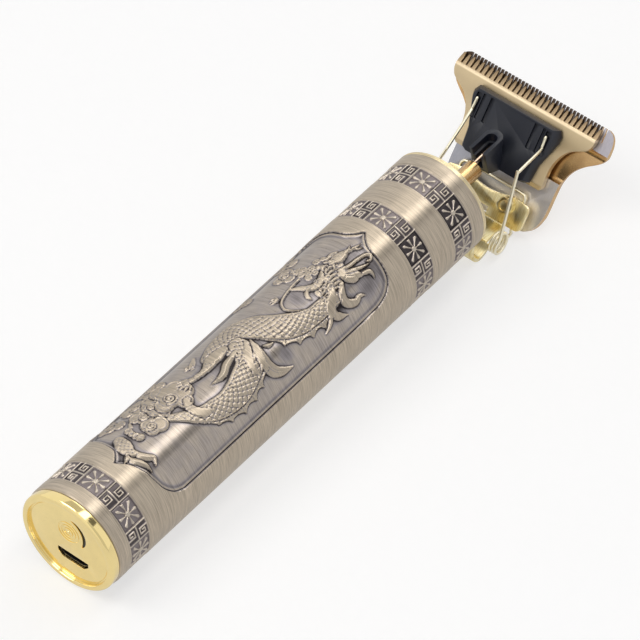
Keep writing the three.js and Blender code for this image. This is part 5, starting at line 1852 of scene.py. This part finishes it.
# %% The spring's line
COIL = {"x": 10.9, "y": 141.4, "z": -14.5, "r": 2.6, "pitch": 0.85, "entry": 146, "turns_end": 990}
TIP_X = {-1: -10.8, 1: 9.2}
ARM_BEND = {-1: (-10.0, 148.0, -2.1), 1: (10.1, 148.3, 2.75)}
LEG = [(9.6, -21.9), (9.4, -20.7), (9.4, -17), (9.4, -13.2), (9.1, -12.2), (8.3, -11.7), (4, -11.6)]
LEG_H = -0.9


def softened(points, reach):
    """A bent line with each inner corner replaced by two points, so that the straights stay straight."""
    points = [np.asarray(p, float) for p in points]
    soft = [points[0]]
    for before, here, after in zip(points, points[1:], points[2:]):
        for other in (before, after):
            share = min(reach / np.linalg.norm(here - other), 0.45)
            soft.append(here + (other - here) * share)
    return soft + [points[-1]]


def on_coil(side, angle, x):
    return (side * x, COIL["y"] + COIL["r"] * math.cos(angle), COIL["z"] + COIL["r"] * math.sin(angle))


def spring_half(side):
    tip = TIP_X[side]
    start, end = math.radians(COIL["entry"]), math.radians(COIL["turns_end"])
    outer_x = COIL["x"] + 1.0
    entry = on_coil(side, start, outer_x)
    points = softened([
        on_blade((tip, 4.1, 2.65))[0], on_blade((tip + side * 0.15, 0.6, 2.55))[0], ARM_BEND[side],
        (entry[0], entry[1] + 1.5, entry[2] + 2.2),
    ], 0.8)
    for angle in np.linspace(start, end, 31):
        points.append(on_coil(side, angle, outer_x - (angle - start) / (2 * math.pi) * COIL["pitch"]))
    return points + [on_blade((side * x, s, LEG_H))[0] for x, s in LEG]


spring_line = spring_half(-1) + spring_half(1)[::-1]
print("points along the spring:", len(spring_line))

# %% The wire
WIRE_R = 0.38


def wire(name, points, radius, sides=14, per_span=7):
    """A round wire along a smooth line, with slightly rounded ends."""
    line = smooth(points, per_span)
    forward = np.gradient(line, axis=0)
    forward /= np.linalg.norm(forward, axis=1)[:, None]
    normal = np.cross(forward[0], (0.3, 0.5, 0.81))
    normal /= np.linalg.norm(normal)
    angle = np.linspace(0, 2 * np.pi, sides, endpoint=False)
    rings = []
    for k, (point, ahead) in enumerate(zip(line, forward)):
        normal = normal - ahead * (normal @ ahead)
        normal /= np.linalg.norm(normal)
        other = np.cross(ahead, normal)
        r = radius * (0.6 if k in (0, len(line) - 1) else 1.0)
        rings.append(point + r * (np.cos(angle)[:, None] * normal + np.sin(angle)[:, None] * other))
    return skin(name, rings)


wire_gold = gilt_finish("wire_gold", srgb(250, 242, 216), 0.34)
spring = wire("torsion_spring_wire", spring_line, WIRE_R)
dress(spring, None, wire_gold, ["torsion_spring"], crease=60)
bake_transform(spring)

# %% [markdown]
# ## Hub, pin and screws
#
# The motor's shaft ends in a turned brass hub. Its pin stands off centre, and works in the carrier's
# fork, so that turning becomes sliding. Both are swept from profiles.

# %% Hub and pin
HUB_R, HUB_END = 2.3, 145.5
CRANK, CRANK_REST = 1.1, math.radians(117.03)
PIN_R, PIN_BORE_GAP = 0.675, 0.15
pin_x, pin_z = CRANK * math.cos(CRANK_REST), CRANK * math.sin(CRANK_REST)


def brass_finish():
    material, tree, shader = new_finish("turned_brass", srgb(208, 166, 104), 1.0, 0.16, Anisotropic=0.4)
    rings = noise(round_coordinates(tree, 0.4, 14.0), 1.0, 2.0)
    feed(shader, ramp(rings, [(0.3, srgb(204, 168, 116)), (0.7, srgb(220, 186, 136))]))
    uneven_roughness(shader, rings, 0.14, 0.16)
    bump(shader, rings, 0.12, 0.00003)
    return material


brass = brass_finish()
hub_profile = [
    (0.0, 138.4), (1.3, 138.4), (1.3, 128.2), (2.5, 128.2), (2.6, 128.3), (2.6, 134.4), (HUB_R, 134.9),
    (HUB_R, HUB_END - 0.45), (HUB_R - 0.12, HUB_END - 0.16), (HUB_R - 0.4, HUB_END), (0.0, HUB_END),
]
hub = lathe("eccentric_hub_brass", hub_profile, 72)
pin_bore_r = PIN_R + PIN_BORE_GAP
cut_out(hub, turned("pin_bore", [(pin_bore_r, 143.2), (pin_bore_r, HUB_END + 1)], 40, pin_x, pin_z))
dress(hub, "rotor", brass, ["eccentric_hub"])

pin_profile = [(PIN_R - 0.1, 143.6), (PIN_R, 143.7), (PIN_R, 152.1), (PIN_R - 0.08, 152.3),
               (PIN_R - 0.25, 152.4)]
pin = turned("eccentric_pin_steel", pin_profile, 40, pin_x, pin_z)
warm_steel = steel_finish("warm_steel", srgb(228, 200, 176), 0.24)
dress(pin, "rotor", warm_steel, ["eccentric_pin"])

# %% [markdown]
# A screw is its head and shank in one profile, so it could be swept like the hub. The cross is cut
# afterwards, by two thin slabs. The four screws along the barrel are bare steel, and the two that hold
# the fixed blade from below are gilt.

# %% Screws along the barrel
def cut_cross(piece, x, y, reach, half, low, high, frame_of):
    """Cuts a cross into a screw's head."""
    for half_x, half_y in ((reach, half), (half, reach)):
        cut_out(piece, slab("cross", box_outline(x, y, half_x, half_y), low, high, frame_of))


def screw(name, radius, low, high, x, z, shank_from, shank_r=0.95):
    """A pan-head screw along the barrel with a cross in its head."""
    profile = [(shank_r, shank_from), (shank_r, low), (radius - 0.25, low), (radius, low + 0.25),
               (radius, high - 0.55), (radius - 0.18, high - 0.25), (radius - 0.5, high - 0.08),
               (radius - 0.9, high)]
    piece = turned(name, profile, 48, x, z)
    cut_cross(piece, x, z, 1.25, 0.22, high - 0.55, high + 1, standing)
    return piece


for word, side in (("left", -1), ("right", 1)):
    x, z = BRACKET_SCREW_AT[0] * side, BRACKET_SCREW_AT[1]
    dress(screw(f"bracket_screw_{word}_steel", 1.9, 133.1, 134.4, x, z, 128.5),
          "body", steel, [f"bracket_screw_{word}"])
    dress(screw(f"motor_screw_{word}_steel", 1.8, 129.7, 130.9, x, 2.0, 124.3),
          "body", steel, [f"motor_screw_{word}"])

# %% Screws of the fixed blade
HEAD_R, SHANK_R, SHANK_TOP = 2.4, 1.4, 2.35
gilt_screw = gilt_finish("gilt_screw", srgb(244, 224, 168), 0.3)


def blade_screw(word, side):
    x, s = side * SCREW_AT[0], SCREW_AT[1]
    piece = rod_on_blade(f"blade_screw_{word}_steel", HEAD_R, x, s, SKIN_H + 0.1, SKIN_H + 0.7)
    join_on(piece, rod_on_blade("shank", SHANK_R, x, s, SKIN_H + 0.6, SHANK_TOP))
    cut_cross(piece, x, s, 1.4, 0.26, SKIN_H - 0.2, SKIN_H + 0.38, on_blade)
    return soften_edges(piece, 0.08, 40)


for word, side in (("left", -1), ("right", 1)):
    dress(blade_screw(word, side), "body", gilt_screw, [f"blade_screw_{word}"])

# %% [markdown]
# ## The switch
#
# The slide switch is on the other side of the barrel: a curved bezel in a window of the tube, and a
# thumb pad with three grip ridges.

# %% Bezel and slider
SWITCH_Y, SWITCH_TRAVEL = 78.0, 4.0
BEZEL = {"half": 8.6, "width": 7.8, "inner_r": 12.3, "outer_r": 13.15}
SLOT_WIDTH, SLOT_LONG = 3.8, 9.2
PAD_WIDTH, PAD_LONG, PAD_LOW, PAD_HIGH = 5.8, 8, -14.5, -13.55
RIDGE_PLACES = (-2, 0, 2)


def bezel():
    half, inner_r, outer_r = BEZEL["half"], BEZEL["inner_r"], BEZEL["outer_r"]
    section = [(inner_r, SWITCH_Y - half), (outer_r, SWITCH_Y - half), (outer_r, SWITCH_Y + half),
               (inner_r, SWITCH_Y + half)]
    ring = turned("switch_bezel_gilt", section, 192, looped=True)
    outline = rounded_box(0, SWITCH_Y, BEZEL["width"], 2 * half, 0.6)
    work(ring, "INTERSECT", slab("window", outline, -15, -9))
    cut_out(ring, slab("slot", rounded_box(0, SWITCH_Y, SLOT_WIDTH, SLOT_LONG, 0.8), -15, -9))
    return soften_edges(ring, 0.1, 40)


def slider():
    y = SWITCH_Y - SWITCH_TRAVEL / 2
    pad = slab("switch_slider_pad", rounded_box(0, y, PAD_WIDTH, PAD_LONG, 1.0), PAD_LOW, PAD_HIGH)
    join_on(pad, slab("stem", rounded_box(0, y, 3, 4, 0.3), -13.7, -12.2))
    for dy in RIDGE_PLACES:
        join_on(pad, slab("ridge", rounded_box(0, y + dy, 4.8, 0.8, 0.3), -14.9, -14.4))
    return soften_edges(pad, 0.14, 40)


dress(bezel(), "body", pressed_gold, ["switch_bezel"])
dress(slider(), "switch", polished_gold, ["switch_slider"])

# %% [markdown]
# ## Inside the barrel
#
# The remaining nodes are mostly hidden: the frame that carries the battery, the cell, the boards and
# the motor. Their CAD shapes are right, so each keeps its mesh and only takes a finish.

# %% Finishes for the inner parts
def tinted(name, low, high, roughness, scale=400.0, metallic=0.0, grain=0.1):
    """A finish that varies between two colours, with a fine grain."""
    return patchy_finish(name, (low, high), metallic, roughness, (scale, 4.0), (0.14, 0.07),
                         (8 * scale, 2.0), grain, 0.00003, stops=(0.35, 0.65))


def copper_finish():
    material, tree, shader = new_finish("copper_winding", srgb(176, 104, 60), 1.0, 0.32)
    wave = {"Vector": surface_point(tree), "Scale": 900.0, "Distortion": 0.4, "Detail": 1.0}
    turns = add_node(tree, "TexWave", wave, bands_direction="Y").outputs["Fac"]
    feed(shader, ramp(turns, [(0.2, srgb(120, 62, 34)), (0.7, srgb(196, 124, 76))]))
    bump(shader, turns, 0.5, 0.00008)
    return material


finishes = {
    "plain_steel": steel,
    "black_moulding": black_moulding,
    "turned_brass": brass,
    "copper_winding": copper_finish(),
    "white_moulding": moulded_finish("white_moulding", srgb(230, 228, 220)),
    "circuit_board": tinted("circuit_board", srgb(20, 78, 48), srgb(30, 104, 64), 0.35),
    "cell_wrap": tinted("cell_wrap", srgb(38, 100, 168), srgb(50, 118, 190), 0.28, 120.0),
    "foam_pad": tinted("foam_pad", srgb(64, 64, 68), srgb(96, 96, 100), 0.9, 1500.0, grain=0.8),
    "seal_rubber": tinted("seal_rubber", srgb(24, 24, 24), srgb(36, 36, 36), 0.7, 900.0),
    "magnet_ferrite": tinted("magnet_ferrite", srgb(48, 46, 46), srgb(70, 66, 64), 0.5, 800.0, 0.3),
}
print("finishes for inner parts:", len(finishes))

# %% The inner parts
inner_parts = {
    "chassis_frame": "black_moulding", "front_bulkhead": "black_moulding", "battery_cell": "cell_wrap",
    "battery_tab_rear": "plain_steel", "battery_tab_front": "plain_steel",
    "battery_foam_rear": "foam_pad", "battery_foam_front": "foam_pad", "cap_seal": "seal_rubber",
    "charge_board": "circuit_board", "switch_board": "circuit_board", "switch_housing": "plain_steel",
    "motor_can": "plain_steel", "motor_end_bell": "white_moulding",
    "motor_bush_front": "turned_brass", "motor_bush_rear": "turned_brass",
    "motor_magnet_left": "magnet_ferrite", "motor_magnet_right": "magnet_ferrite",
    "motor_terminal_left": "turned_brass", "motor_terminal_right": "turned_brass",
    "motor_armature": "copper_winding", "motor_commutator": "copper_winding", "motor_shaft": "plain_steel",
}
for node, finish_name in inner_parts.items():
    mesh = nodes[node].data
    mesh.materials.clear()
    mesh.materials.append(finishes[finish_name])
print("inner parts finished:", len(inner_parts))

# %% [markdown]
# ## Sizes
#
# The box of the CAD parts and the box of the finished clipper are printed side by side. The looks
# may not grow past the parts.

# %% Sizes
shown_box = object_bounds()
for word, corner, limit in zip(("low", "high"), shown_box, cad_box):
    print(word, [round(c / MM, 3) for c in corner], "CAD", [round(c / MM, 3) for c in limit])
